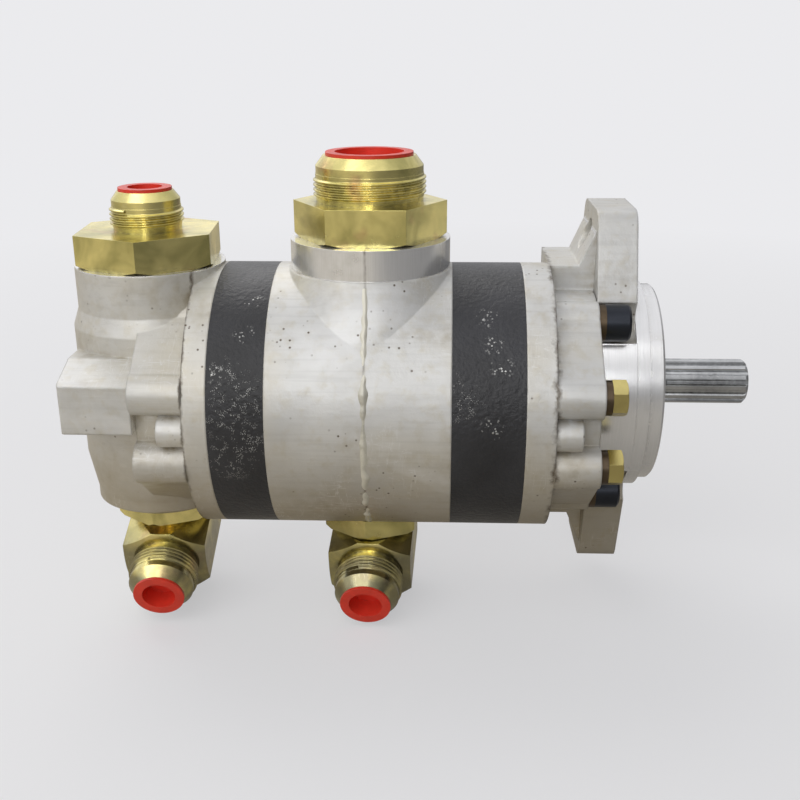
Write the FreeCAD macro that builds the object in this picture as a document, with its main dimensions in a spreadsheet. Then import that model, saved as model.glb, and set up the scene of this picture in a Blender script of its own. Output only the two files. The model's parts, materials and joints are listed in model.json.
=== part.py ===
import FreeCAD, Part
import math
import operator
import os

import Sketcher
from FreeCAD import Placement, Rotation, Vector

# Tandem external gear pump. The origin is on the drive shaft's axis at the mounting
# face, +X runs out along the shaft, +Z up through the inlets. Lengths in mm, angles
# in degrees. Every size is written once, here.
SIZES = {
    # gear set
    "gear_module": 3.5,
    "gear_teeth": 12,
    "gear_pressure_angle": 25,
    "gear_thinning": 0.12,
    "gear_root_radius": 16.6,
    "gear_end_play": 0.05,
    "tip_clearance": 0.1,
    "journal_radius": 12.7,
    "journal_clearance": 0.04,
    # bushes, wear plates and seals
    "bush_radius": 16,
    "bush_length": 20,
    "seat_clearance": 0.05,
    "plate_thickness": 3,
    "plate_notch_width": 14,
    "section_seal_radius": 27,
    "section_seal_width": 2.2,
    "section_seal_depth": 2,
    # sections of the body along the shaft
    "body_radius": 62,
    "cover_length": 51.5,
    "cover_band_length": 13,
    "boss_face_depth": 18.5,
    "front_ring_length": 31.6,
    "centre_length": 80,
    "rear_ring_length": 24.7,
    "rear_band_length": 10.7,
    "rear_boss_length": 23,
    "core_radius": 51,
    "shaft_relief_radius": 17.5,
    "shaft_pass_radius": 14.5,
    "shaft_pass_clearance": 1,
    # flange, pilot and nose of the front cover
    "flange_bolt_span": 146.05,
    "flange_hole_radius": 7.15,
    "flange_height": 174,
    "flange_ear_width": 44,
    "flange_corner_radius": 9,
    "flange_depth": 18,
    "flange_disc_radius": 51.8,
    "flange_flank_angle": 22,
    "gusset_slope": 7,
    "pilot_radius": 50.8,
    "pilot_length": 6,
    "nose_radius": 47.7,
    "nose_length": 7.3,
    "nose_chamfer": 1,
    # dowels and tie bolts: offsets are across (Y) and up (Z) from the body's axis
    "dowel_inset": 6,
    "dowel_radius": 3,
    "dowel_length": 16,
    "dowel_boss_radius": 7,
    "dowel_boss_length": 11.5,
    "tie_boss_radius": 9.5,
    "web_recess": 1.2,
    "hex_inset": 10.5,
    "hex_offset_up": 16,
    "hex_shank_radius": 4.7,
    "hex_head_flats": 14.3,
    "hex_head_height": 6.4,
    "hex_crown_slope": 2,
    "socket_offset_across": 20.5,
    "socket_inset": 21.4,
    "socket_shank_radius": 5.5,
    "socket_head_radius": 8.3,
    "socket_head_height": 11.1,
    "socket_head_chamfer": 1.1,
    "socket_key_flats": 9.5,
    "socket_key_depth": 6,
    "spot_face_radius": 9.6,
    "washer_height": 3.2,
    "washer_wall": 2.6,
    "washer_slit": 1.2,
    "bolt_hole_clearance": 0.3,
    "thread_engagement": 17,
    "thread_relief": 1,
    # drive shaft
    "shaft_reach": 61,
    "shaft_chamfer": 1.5,
    "spline_module": 1.5875,
    "spline_teeth": 13,
    "spline_pressure_angle": 30,
    "spline_radius": 10.9,
    "spline_root_radius": 9.3,
    "spline_length": 39,
    "spline_run_out": 7,
    "coupling_radius": 15,
    "coupling_length": 30,
    "coupling_engagement": 13,
    "coupling_clearance": 0.06,
    # shaft seal in the nose
    "seal_bore_radius": 21,
    "seal_bore_depth": 10,
    "seal_length": 7,
    "seal_lip_gap": 0.08,
    "clip_thickness": 1.6,
    "clip_groove_depth": 1,
    "clip_bore_radius": 18.5,
    # ports
    "front_port_offset": 2.5,
    "rear_port_offset": 35.2,
    "front_port_rise": 13.5,
    "rear_port_rise": 1.5,
    "inlet_boss_margin": 3.6,
    "saddle_step": 0.9,
    "saddle_foot_radius": 50,
    "port_stud_radius": 23.5,
    "port_stud_length": 16,
    "inlet_bore_radius": 15,
    "inlet_floor": 22,
    "gallery_width": 18,
    "gallery_low": 13.6,
    "gallery_high": 24,
    "front_outlet_sink": 5,
    "rear_outlet_sink": 9.6,
    "outlet_spot_radius": 27,
    "outlet_boss_radius": 29,
    "outlet_boss_bevel": 2.5,
    "outlet_stud_radius": 13.5,
    "outlet_stud_length": 12,
    "outlet_bore_radius": 9,
    # inlet adapters
    "inlet_hex_flats": 60.3,
    "front_inlet_hex_height": 16.3,
    "rear_inlet_hex_height": 15,
    "hex_chamfer": 1.6,
    "hex_half_angle": 30,
    "neck_height": 2,
    "nose_angle": 37,
    "front_inlet_thread_radius": 25.4,
    "front_inlet_thread_length": 10.3,
    "front_inlet_band_length": 3.4,
    "front_inlet_tip_length": 4.4,
    "front_inlet_bore_radius": 18.2,
    "rear_inlet_thread_radius": 16.65,
    "rear_inlet_thread_length": 8.8,
    "rear_inlet_band_length": 3,
    "rear_inlet_tip_length": 3.8,
    "rear_inlet_bore_radius": 10.6,
    "thread_depth": 1.2,
    "rear_inlet_turn": 4.5,
    # outlet elbows
    "outlet_hex_flats": 44,
    "outlet_hex_height": 10.5,
    "rear_outlet_hex_height": 9.2,
    "outlet_hex_turn": -6,
    "elbow_drop": 23,
    "rear_elbow_drop": 24.6,
    "elbow_tilt": 19,
    "front_elbow_turn": -3,
    "rear_elbow_turn": 2,
    "elbow_hex_flats": 40,
    "elbow_half_length": 22,
    "elbow_gap": 0.4,
    "elbow_bar_end_radius": 19.6,
    "elbow_thread_radius": 16.65,
    "elbow_thread_length": 9,
    "elbow_band_length": 3,
    "elbow_tip_length": 5,
    "elbow_bore_radius": 10.6,
    "swivel_neck_radius": 15.5,
    "swivel_neck_height": 3,
    # shipping plugs
    "plug_rim": 1.5,
    "plug_rim_height": 1.4,
    "plug_clearance": 0.1,
    "plug_wall": 2.6,
    "plug_depth": 10,
    "plug_floor": 1.6,
    # barrel of the rear cover about its port's axis, and the block on its near side
    "barrel_top_radius": 34.3,
    "barrel_radius": 37,
    "barrel_foot_radius": 33.6,
    "barrel_top_start": 44,
    "barrel_top_end": 36,
    "barrel_foot_start": 26,
    "barrel_foot_end": 45,
    "block_low": -1.4,
    "block_high": 20.4,
    "block_bevel_height": 7,
    "block_bevel_reach": 19,
    "block_reach": 57,
    "block_length": 30,
    "block_edge_radius": 2,
}
FLANK_STEPS = 6
NEARNESS = 1e-3

AXIAL = Rotation(Vector(0, 1, 0), 90)
AGAINST_AXIAL = Rotation(Vector(0, 1, 0), -90)
OPERATORS = {"+": operator.add, "-": operator.sub, "*": operator.mul, "/": operator.truediv}


class Size:
    """A number together with the spreadsheet expression that gives it."""

    def __init__(self, value, text):
        self.value = float(value)
        self.text = text

    def __add__(self, other):
        return combine(self, "+", other)

    def __radd__(self, other):
        return combine(other, "+", self)

    def __sub__(self, other):
        return combine(self, "-", other)

    def __rsub__(self, other):
        return combine(other, "-", self)

    def __mul__(self, other):
        return combine(self, "*", other)

    def __rmul__(self, other):
        return combine(other, "*", self)

    def __truediv__(self, other):
        return combine(self, "/", other)

    def __neg__(self):
        return combine(-1, "*", self)


def sized(number):
    return number if isinstance(number, Size) else Size(number, repr(number))


def combine(left, sign, right):
    left, right = sized(left), sized(right)
    value = OPERATORS[sign](left.value, right.value)
    return Size(value, f"({left.text} {sign} {right.text})")


def tangent(angle):
    return Size(math.tan(math.radians(angle.value)), f"tan({angle.text})")


def cosine(angle):
    return Size(math.cos(math.radians(angle.value)), f"cos({angle.text})")


def root(size):
    return Size(math.sqrt(size.value), f"sqrt({size.text})")


class Sizes:
    """The spreadsheet of driving dimensions, read as attributes."""

    def __init__(self, document):
        self.sheet = document.addObject("Spreadsheet::Sheet", "sizes")
        for row, (alias, value) in enumerate(SIZES.items(), start=1):
            self.sheet.set(f"A{row}", alias)
            self.sheet.set(f"B{row}", str(value))
            self.sheet.setAlias(f"B{row}", alias)
        document.recompute()

    def __getattr__(self, alias):
        return Size(getattr(self.sheet, alias), f"sizes.{alias}")


doc = FreeCAD.newDocument("gear_pump")
S = Sizes(doc)

# Stations along X and offsets across Y that several pieces share.
PITCH_RADIUS = S.gear_module * S.gear_teeth / 2
TIP_RADIUS = PITCH_RADIUS + S.gear_module
CAVITY_RADIUS = TIP_RADIUS + S.tip_clearance
DRIVE_Y = Size(0, "0")
DRIVEN_Y = -2 * PITCH_RADIUS
BODY_Y = -PITCH_RADIUS
COVER_JOINT = -S.cover_length
FRONT_JOINT = COVER_JOINT - S.front_ring_length
CENTRE_JOINT = FRONT_JOINT - S.centre_length
REAR_JOINT = CENTRE_JOINT - S.rear_ring_length
BOSS_FACE = -S.boss_face_depth
CAST_START = COVER_JOINT + S.cover_band_length
REAR_CAST = REAR_JOINT - S.rear_band_length
REAR_BOSS_FACE = REAR_CAST - S.rear_boss_length
NOSE_FACE = S.pilot_length + S.nose_length
FRONT_PORT_X = (FRONT_JOINT + CENTRE_JOINT) / 2 + S.front_port_offset
REAR_PORT_X = REAR_JOINT - S.rear_port_offset
FRONT_PORT_FACE = S.body_radius + S.front_port_rise
REAR_PORT_FACE = S.body_radius + S.rear_port_rise
FRONT_OUTLET_FACE = S.front_outlet_sink - S.body_radius
REAR_OUTLET_FACE = S.rear_outlet_sink - S.body_radius
INLET_BOSS_RADIUS = S.centre_length / 2 - S.inlet_boss_margin
DOWEL_ACROSS = S.body_radius - S.dowel_inset
HEX_ACROSS = S.body_radius - S.hex_inset
SOCKET_UP = S.body_radius - S.socket_inset
JOURNAL_BORE = S.journal_radius + S.journal_clearance
BUSH_BORE = S.bush_radius + S.seat_clearance
SPACER = S.plate_thickness + S.gear_end_play
PLUS_MINUS = (1, -1)


def bind(target, path, size):
    """Tie a property to the spreadsheet expression of a size."""
    target.setExpression(path, sized(size).text)


def place(target, x=0, y=0, z=0, turn=Rotation()):
    """Put an object at a bound position."""
    spot = [sized(value) for value in (x, y, z)]
    target.Placement = Placement(Vector(*[value.value for value in spot]), turn)
    for letter, value in zip("xyz", spot):
        bind(target, f"Placement.Base.{letter}", value)
    return target


class Casting:
    """A PartDesign body built from profiles that run along +X from a station."""

    def __init__(self, label):
        self.body = doc.addObject("PartDesign::Body", label)
        self.count = 0

    def sketch(self, plane, offset=0):
        self.count += 1
        name = f"{self.body.Name}_sketch_{self.count}"
        made = self.body.newObject("Sketcher::SketchObject", name)
        planes = {part.Role: part for part in self.body.Origin.OriginFeatures}
        made.AttachmentSupport = (planes[plane], "")
        made.MapMode = "FlatFace"
        bind(made, "AttachmentOffset.Base.z", offset)
        return made

    def feature(self, kind, profile, **bound):
        name = f"{profile.Name}_{kind.lower()}"
        made = self.body.newObject(f"PartDesign::{kind}", name)
        made.Profile = profile
        for path, size in bound.items():
            bind(made, path, size)
        profile.Visibility = False
        return made

    def round_pad(self, start, length, circles):
        profile = self.sketch("YZ_Plane", start)
        draw_circles(profile, circles)
        return self.feature("Pad", profile, Length=length)

    def round_cut(self, start, length, circles):
        profile = self.sketch("YZ_Plane", start)
        draw_circles(profile, circles)
        made = self.feature("Pocket", profile, Length=length)
        made.Reversed = True
        return made

    def flat_pad(self, start, length, points, plane="YZ_Plane"):
        profile = self.sketch(plane, start)
        draw_outline(profile, points)
        return self.feature("Pad", profile, Length=length)

    def flat_cut(self, start, length, points, plane="YZ_Plane"):
        profile = self.sketch(plane, start)
        draw_outline(profile, points)
        made = self.feature("Pocket", profile, Length=length)
        made.Reversed = True
        return made

    def vertical_cut(self, start, length, circles):
        """Circles are (x, y, radius), cut upwards from a height."""
        profile = self.sketch("XY_Plane", start)
        draw_circles(profile, circles)
        made = self.feature("Pocket", profile, Length=length)
        made.Reversed = True
        return made

    def groove_ring(self, start, length):
        """The racetrack groove that takes a section seal."""
        half = S.section_seal_width / 2
        profile = self.sketch("YZ_Plane", start)
        draw_racetrack(profile, S.section_seal_radius + half)
        draw_racetrack(profile, S.section_seal_radius - half)
        made = self.feature("Pocket", profile, Length=length)
        made.Reversed = True

    def turn(self, profile, axis="H_Axis"):
        made = self.feature("Revolution", profile)
        made.ReferenceAxis = (profile, [axis])
        made.Angle = 360
        return made

    def dress(self, kind, edges, size):
        """Round or bevel the edges of the tip that a test picks."""
        doc.recompute()
        base = self.body.Tip
        names = [f"Edge{n}" for n, edge in enumerate(base.Shape.Edges, start=1) if edges(edge)]
        made = self.body.newObject(f"PartDesign::{kind}", f"{self.body.Name}_{kind.lower()}")
        made.Base = (base, names)
        bind(made, "Radius" if kind == "Fillet" else "Size", size)
        return made


def fix(profile, kind, where, size):
    """Add one sketch constraint whose value is bound to the sheet."""
    size = sized(size)
    index = profile.addConstraint(Sketcher.Constraint(kind, *where, size.value))
    bind(profile, f"Constraints[{index}]", size)


def draw_circles(profile, circles):
    for across, up, radius in circles:
        across, up, radius = sized(across), sized(up), sized(radius)
        ring = Part.Circle(Vector(across.value, up.value, 0), Vector(0, 0, 1), radius.value)
        index = profile.addGeometry(ring)
        fix(profile, "Radius", (index,), radius)
        fix(profile, "DistanceX", (-1, 1, index, 3), across)
        fix(profile, "DistanceY", (-1, 1, index, 3), up)


def draw_outline(profile, points):
    """A closed outline of straight edges with every corner bound."""
    corners = [(sized(across), sized(up)) for across, up in points]
    spots = [Vector(across.value, up.value, 0) for across, up in corners]
    first = profile.GeometryCount
    for number, spot in enumerate(spots):
        profile.addGeometry(Part.LineSegment(spot, spots[(number + 1) % len(spots)]))
    for number, (across, up) in enumerate(corners):
        edge = first + number
        following = first + (number + 1) % len(spots)
        profile.addConstraint(Sketcher.Constraint("Coincident", edge, 2, following, 1))
        fix(profile, "DistanceX", (-1, 1, edge, 1), across)
        fix(profile, "DistanceY", (-1, 1, edge, 1), up)


def draw_racetrack(profile, radius):
    """Two half circles about the gear axes, joined by straight lines."""
    first = profile.GeometryCount
    for side, centre in zip(PLUS_MINUS, (DRIVE_Y, DRIVEN_Y)):
        middle = Vector(centre.value, 0, 0)
        ring = Part.Circle(middle, Vector(0, 0, 1), radius.value)
        start = -math.pi / 2 if side > 0 else math.pi / 2
        arc = profile.addGeometry(Part.ArcOfCircle(ring, start, start + math.pi))
        fix(profile, "DistanceX", (-1, 1, arc, 3), centre)
        fix(profile, "DistanceY", (-1, 1, arc, 3), 0)
        fix(profile, "Radius", (arc,), radius)
    for ends in ((first, 2, first + 1, 1), (first + 1, 2, first, 1)):
        start = profile.getPoint(*ends[:2])
        line = profile.addGeometry(Part.LineSegment(start, profile.getPoint(*ends[2:])))
        profile.addConstraint(Sketcher.Constraint("Tangent", ends[0], ends[1], line, 1))
        profile.addConstraint(Sketcher.Constraint("Tangent", line, 2, ends[2], ends[3]))


# The tie bolts lie in pairs above and below the body's axis. The near pairs (side -1)
# have their heads on the front cover. The far hexagon pair sits behind the pilot, so its
# heads are on the rear cover, and the ports leave no room for a far socket pair.
NEAR, FAR = -1, 1


def bolt_circles(side, hex_radius, socket_radius):
    """Circles at the bolts of one side, above and below the body's axis."""
    circles = [(BODY_Y + side * HEX_ACROSS, lift * S.hex_offset_up, hex_radius)
               for lift in PLUS_MINUS]
    if side == NEAR:
        circles += [(BODY_Y + side * S.socket_offset_across, lift * SOCKET_UP, socket_radius)
                    for lift in PLUS_MINUS]
    return circles


HEX_HOLE = S.hex_shank_radius + S.bolt_hole_clearance
SOCKET_HOLE = S.socket_shank_radius + S.bolt_hole_clearance
THREAD_DEPTH = S.thread_engagement + S.thread_relief


def bolt_holes(piece, start, length, sides=PLUS_MINUS):
    """Clearance holes for the tie bolts of one or both sides."""
    for side in sides:
        piece.round_cut(start, length, bolt_circles(side, HEX_HOLE, SOCKET_HOLE))


def bolt_bosses(piece, start, length):
    """A round boss for every tie bolt, with flat webs between the near ones."""
    for side in PLUS_MINUS:
        for boss in bolt_circles(side, S.tie_boss_radius, S.tie_boss_radius):
            piece.round_pad(start, length, [boss])
    across = HEX_ACROSS - S.socket_offset_across
    up = SOCKET_UP - S.hex_offset_up
    reach = (S.tie_boss_radius - S.web_recess) / root(across * across + up * up)
    for lift in PLUS_MINUS:
        hexagon = (BODY_Y - HEX_ACROSS, lift * S.hex_offset_up)
        socket = (BODY_Y - S.socket_offset_across, lift * SOCKET_UP)
        outward = (-up * reach, lift * across * reach)
        piece.flat_pad(start, length, [
            hexagon, (hexagon[0] + outward[0], hexagon[1] + outward[1]),
            (socket[0] + outward[0], socket[1] + outward[1]), socket])


def spot_faces(piece, start, length, side):
    piece.round_cut(start, length, bolt_circles(side, S.spot_face_radius, S.spot_face_radius))


def dowel_circles(radius):
    return [(BODY_Y + side * DOWEL_ACROSS, 0, radius) for side in PLUS_MINUS]


def dowel_holes(piece, start, length):
    piece.round_cut(start, length, dowel_circles(S.dowel_radius + S.seat_clearance))


def dowel_bosses(piece, start):
    for side in PLUS_MINUS:
        boss = (BODY_Y + side * (S.body_radius - S.dowel_boss_radius), 0, S.dowel_boss_radius)
        piece.round_pad(start, S.dowel_boss_length, [boss])


def bush_bores(piece, start):
    piece.round_cut(start, S.bush_length, [(DRIVE_Y, 0, BUSH_BORE), (DRIVEN_Y, 0, BUSH_BORE)])


def body_disc(piece, start, length):
    return piece.round_pad(start, length, [(BODY_Y, 0, S.body_radius)])


def clear_beyond(piece, start, length):
    """Cut away whatever reaches past a joint."""
    reach = 2 * S.body_radius
    piece.flat_cut(start, length, [
        (BODY_Y - reach, -reach), (BODY_Y + reach, -reach),
        (BODY_Y + reach, reach), (BODY_Y - reach, reach)])


def gallery(piece, start, length):
    """The two flat passages that join the ports to the gear mesh."""
    half = S.gallery_width / 2
    for lift in PLUS_MINUS:
        piece.flat_cut(start, length, [
            (BODY_Y - half, lift * S.gallery_low),
            (BODY_Y + half, lift * S.gallery_low),
            (BODY_Y + half, lift * S.gallery_high),
            (BODY_Y - half, lift * S.gallery_high),
        ])


def port_bores(piece, x, inlet_face, outlet_face, inlet_bore):
    """Stud bores and passages of one section's two ports."""
    stud = S.port_stud_radius + S.bolt_hole_clearance
    piece.vertical_cut(inlet_face - S.port_stud_length, S.port_stud_length, [(x, BODY_Y, stud)])
    piece.vertical_cut(S.inlet_floor, inlet_face - S.inlet_floor, [(x, BODY_Y, inlet_bore)])
    stud = S.outlet_stud_radius + S.bolt_hole_clearance
    piece.vertical_cut(outlet_face, S.outlet_stud_length + S.thread_relief, [(x, BODY_Y, stud)])
    piece.vertical_cut(outlet_face, -S.inlet_floor - outlet_face, [(x, BODY_Y, S.outlet_bore_radius)])


def add_flange(cover):
    """Two-bolt flange: a disc with an ear above and below, each with a rounded end."""
    half_width, half_height = S.flange_ear_width / 2, S.flange_height / 2
    waist = S.flange_disc_radius * S.flange_ear_width / S.flange_height
    shoulder = S.flange_disc_radius * cosine(S.flange_flank_angle)
    cover.flat_pad(-S.flange_depth, S.flange_depth, [
        (-half_width, half_height), (half_width, half_height),
        (shoulder, waist), (shoulder, -waist),
        (half_width, -half_height), (-half_width, -half_height),
        (-shoulder, -waist), (-shoulder, waist),
    ])

    def ear_corner(edge):
        middle = edge.CenterOfMass
        return (abs(abs(middle.z) - half_height.value) < NEARNESS
                and abs(abs(middle.y) - half_width.value) < NEARNESS)

    cover.dress("Fillet", ear_corner, S.flange_corner_radius)
    cover.round_pad(-S.flange_depth, S.flange_depth, [(DRIVE_Y, 0, S.flange_disc_radius)])


def add_gussets(cover):
    """Sloping backs of the two ears, down to the body."""
    top = S.flange_height / 2 - S.flange_corner_radius
    for lift in PLUS_MINUS:
        gusset = cover.flat_pad(0, S.flange_ear_width, [
            (-S.flange_depth / 2, 0), (-S.flange_depth / 2, lift * top),
            (-S.flange_depth, lift * top),
            (-S.flange_depth - S.gusset_slope, lift * S.body_radius),
            (CAST_START, lift * S.body_radius), (CAST_START, 0),
        ], "XZ_Plane")
        gusset.Midplane = True


def add_nose(cover):
    """Pilot and the smaller nose in front of it."""
    cover.round_pad(0, S.pilot_length, [(DRIVE_Y, 0, S.pilot_radius)])
    cover.round_pad(S.pilot_length, S.nose_length, [(DRIVE_Y, 0, S.nose_radius)])

    def nose_rim(edge):
        return abs(edge.CenterOfMass.x - NOSE_FACE.value) < NEARNESS and len(edge.Vertexes) == 1

    cover.dress("Chamfer", nose_rim, S.nose_chamfer)


def bore_front_cover(cover):
    """Shaft passage, seal bore with its clip groove, mounting and bolt holes."""
    bush_bores(cover, COVER_JOINT)
    passage = S.journal_radius + S.shaft_pass_clearance
    cover.round_cut(COVER_JOINT, S.cover_length + NOSE_FACE, [(DRIVE_Y, 0, passage)])
    seal_floor = NOSE_FACE - S.seal_bore_depth
    cover.round_cut(seal_floor, S.seal_bore_depth, [(DRIVE_Y, 0, S.seal_bore_radius)])
    cover.round_cut(seal_floor + S.seal_length, S.clip_thickness,
                    [(DRIVE_Y, 0, S.seal_bore_radius + S.clip_groove_depth)])
    cover.round_cut(CAST_START, -CAST_START, [
        (DRIVE_Y, lift * S.flange_bolt_span / 2, S.flange_hole_radius) for lift in PLUS_MINUS])
    spot_faces(cover, BOSS_FACE, -BOSS_FACE, NEAR)
    bolt_holes(cover, COVER_JOINT, BOSS_FACE - COVER_JOINT, sides=(NEAR,))
    bolt_holes(cover, COVER_JOINT, THREAD_DEPTH, sides=(FAR,))
    dowel_holes(cover, COVER_JOINT, S.dowel_length / 2)
    cover.groove_ring(COVER_JOINT, S.section_seal_depth)


def make_front_cover():
    """Flanged cover casting: bolt bosses, flange with gusseted ears, pilot and nose."""
    cover = Casting("front_cover")
    body_disc(cover, COVER_JOINT, S.cover_band_length)
    core_length = BOSS_FACE - CAST_START
    cover.round_pad(CAST_START, core_length, [(BODY_Y, 0, S.core_radius)])
    bolt_bosses(cover, CAST_START, core_length)
    dowel_bosses(cover, CAST_START)
    add_flange(cover)
    add_gussets(cover)
    add_nose(cover)
    bore_front_cover(cover)
    return cover.body


def make_gear_housing(label, start, length):
    """Ring with the two overlapping gear bores and the port reliefs between them."""
    ring = Casting(label)
    body_disc(ring, start, length)
    for centre in (DRIVE_Y, DRIVEN_Y):
        ring.round_cut(start, length, [(centre, 0, CAVITY_RADIUS)])
    half = S.gallery_width / 2
    ring.flat_cut(start, length, [
        (BODY_Y - half, -S.gallery_high), (BODY_Y + half, -S.gallery_high),
        (BODY_Y + half, S.gallery_high), (BODY_Y - half, S.gallery_high),
    ])
    bolt_holes(ring, start, length)
    dowel_holes(ring, start, length)
    return ring.body


def add_upright(piece, x, steps):
    """Form turned about a port's upright axis from (radius, height) corners."""
    profile = piece.sketch("XZ_Plane", -BODY_Y)
    bind(profile, "AttachmentOffset.Base.x", x)
    draw_outline(profile, [(0, steps[0][1])] + steps + [(0, steps[-1][1])])
    piece.turn(profile, "V_Axis")


def make_centre_housing():
    """Casting between the two sections, with the front section's ports."""
    housing = Casting("centre_housing")
    body_disc(housing, CENTRE_JOINT, S.centre_length)
    saddle_foot = root(S.body_radius * S.body_radius - S.saddle_foot_radius * S.saddle_foot_radius)
    add_upright(housing, FRONT_PORT_X, [
        (S.saddle_foot_radius, 0), (S.saddle_foot_radius, saddle_foot),
        (INLET_BOSS_RADIUS + S.saddle_step, S.body_radius), (INLET_BOSS_RADIUS, S.body_radius),
        (INLET_BOSS_RADIUS, FRONT_PORT_FACE)])
    clear_beyond(housing, FRONT_JOINT, S.saddle_foot_radius)
    clear_beyond(housing, CENTRE_JOINT - S.saddle_foot_radius, S.saddle_foot_radius)
    housing.vertical_cut(-S.body_radius, S.front_outlet_sink,
                         [(FRONT_PORT_X, BODY_Y, S.outlet_spot_radius)])
    port_bores(housing, FRONT_PORT_X, FRONT_PORT_FACE, FRONT_OUTLET_FACE, S.inlet_bore_radius)
    gallery(housing, FRONT_PORT_X, FRONT_JOINT - FRONT_PORT_X)
    housing.round_cut(CENTRE_JOINT, S.centre_length, [(DRIVE_Y, 0, S.shaft_pass_radius)])
    housing.round_cut(CENTRE_JOINT + S.bush_length, S.centre_length - 2 * S.bush_length,
                      [(DRIVE_Y, 0, S.shaft_relief_radius)])
    for face in (CENTRE_JOINT, FRONT_JOINT - S.bush_length):
        bush_bores(housing, face)
    for face in (CENTRE_JOINT, FRONT_JOINT - S.dowel_length / 2):
        dowel_holes(housing, face, S.dowel_length / 2)
    for face in (CENTRE_JOINT, FRONT_JOINT - S.section_seal_depth):
        housing.groove_ring(face, S.section_seal_depth)
    bolt_holes(housing, CENTRE_JOINT, S.centre_length)
    return housing.body


def add_barrel(cover):
    """Round form of the rear cover about its ports, fuller in the middle."""
    add_upright(cover, REAR_PORT_X, [
        (S.outlet_boss_radius, REAR_OUTLET_FACE),
        (S.barrel_foot_radius, REAR_OUTLET_FACE + S.outlet_boss_bevel),
        (S.barrel_foot_radius, -S.barrel_foot_end), (S.barrel_radius, -S.barrel_foot_start),
        (S.barrel_radius, S.barrel_top_end), (S.barrel_top_radius, S.barrel_top_start),
        (S.barrel_top_radius, REAR_PORT_FACE)])
    clear_beyond(cover, REAR_JOINT, S.barrel_radius)


def add_block(cover):
    """Bevelled block on the near side of the barrel."""
    near, start = BODY_Y - S.block_reach, REAR_PORT_X - S.block_length
    top = S.block_high + S.block_bevel_height
    cover.flat_pad(start, REAR_BOSS_FACE - start, [
        (near, S.block_low), (BODY_Y, S.block_low), (BODY_Y, top),
        (near + S.block_bevel_reach, top), (near, S.block_high)])

    def block_corner(edge):
        middle = edge.CenterOfMass
        return abs(middle.x - start.value) < NEARNESS and abs(middle.y - near.value) < NEARNESS

    cover.dress("Fillet", block_corner, S.block_edge_radius)


def make_rear_cover():
    """Blind cover casting with the rear section's ports."""
    cover = Casting("rear_cover")
    body_disc(cover, REAR_CAST, S.rear_band_length)
    cover.round_pad(REAR_BOSS_FACE, S.rear_boss_length, [(BODY_Y, 0, S.core_radius)])
    bolt_bosses(cover, REAR_BOSS_FACE, S.rear_boss_length)
    dowel_bosses(cover, REAR_CAST - S.dowel_boss_length)
    add_barrel(cover)
    add_block(cover)
    port_bores(cover, REAR_PORT_X, REAR_PORT_FACE, REAR_OUTLET_FACE, S.outlet_bore_radius)
    gallery(cover, REAR_PORT_X, REAR_JOINT - REAR_PORT_X)
    bush_bores(cover, REAR_JOINT - S.bush_length)
    dowel_holes(cover, REAR_JOINT - S.dowel_length / 2, S.dowel_length / 2)
    cover.groove_ring(REAR_JOINT - S.section_seal_depth, S.section_seal_depth)
    bolt_holes(cover, REAR_BOSS_FACE, REAR_JOINT - REAR_BOSS_FACE, sides=(FAR,))
    bolt_holes(cover, REAR_JOINT - THREAD_DEPTH, THREAD_DEPTH, sides=(NEAR,))
    return cover.body


def involute_angle(base, radius):
    """Angle about the gear's axis that the involute turns through from its base circle."""
    roll = math.acos(min(1.0, base / radius))
    return math.tan(roll) - roll


def gear_point(radius, angle):
    return Vector(0, -radius * math.cos(angle), -radius * math.sin(angle))


def involute_profile(teeth, module, pressure_angle, tip, foot, thinning):
    """Face of a spur gear about X, one tooth centred on -Y, from the involute's formula."""
    pitch = module * teeth / 2
    base = pitch * math.cos(math.radians(pressure_angle))
    at_pitch = (math.pi * module / 2 - thinning) / (2 * pitch)
    start = max(base, foot)
    radii = [start + (tip - start) * step / FLANK_STEPS for step in range(FLANK_STEPS + 1)]
    halves = [at_pitch + involute_angle(base, pitch) - involute_angle(base, radius)
              for radius in radii]
    edges = []
    for tooth in range(teeth):
        middle = 2 * math.pi * tooth / teeth
        following = middle + 2 * math.pi / teeth
        rising = [gear_point(radius, middle - half) for radius, half in zip(radii, halves)]
        falling = [gear_point(radius, middle + half) for radius, half in zip(radii, halves)]
        falling.reverse()
        left, right = gear_point(foot, middle - halves[0]), gear_point(foot, middle + halves[0])
        edges += flank(rising, left, False)
        edges.append(Part.Arc(rising[-1], gear_point(tip, middle), falling[0]).toShape())
        edges += flank(falling, right, True)
        valley = gear_point(foot, (middle + following) / 2)
        edges.append(Part.Arc(right, valley, gear_point(foot, following - halves[0])).toShape())
    return Part.Face(Part.Wire(edges))


def flank(points, foot, falling):
    """One flank: the involute and, below the base circle, a straight radial foot."""
    curve = Part.BSplineCurve()
    curve.interpolate(points)
    near = points[-1] if falling else points[0]
    if near.distanceToPoint(foot) < NEARNESS:
        return [curve.toShape()]
    if falling:
        return [curve.toShape(), Part.LineSegment(near, foot).toShape()]
    return [Part.LineSegment(foot, near).toShape(), curve.toShape()]


def toothed(name, start, length, teeth_face):
    """A toothed length of shaft, extruded along X from its face."""
    made = doc.addObject("Part::Feature", name)
    made.Shape = teeth_face.extrude(Vector(length.value, 0, 0))
    made.Placement = Placement(Vector(start.value, 0, 0), Rotation())
    return made


def gear_teeth(name, start, length, y, half_pitch):
    """Pump gear; the driven gear is turned half a tooth so that the pair meshes."""
    face = involute_profile(int(S.gear_teeth.value), S.gear_module.value, S.gear_pressure_angle.value,
                            TIP_RADIUS.value, S.gear_root_radius.value, S.gear_thinning.value)
    made = toothed(name, start, length, face)
    pitches = 180 + 180 / S.gear_teeth.value if half_pitch else 0
    made.Placement = Placement(Vector(start.value, y.value, 0), Rotation(Vector(1, 0, 0), pitches))
    return made


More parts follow.
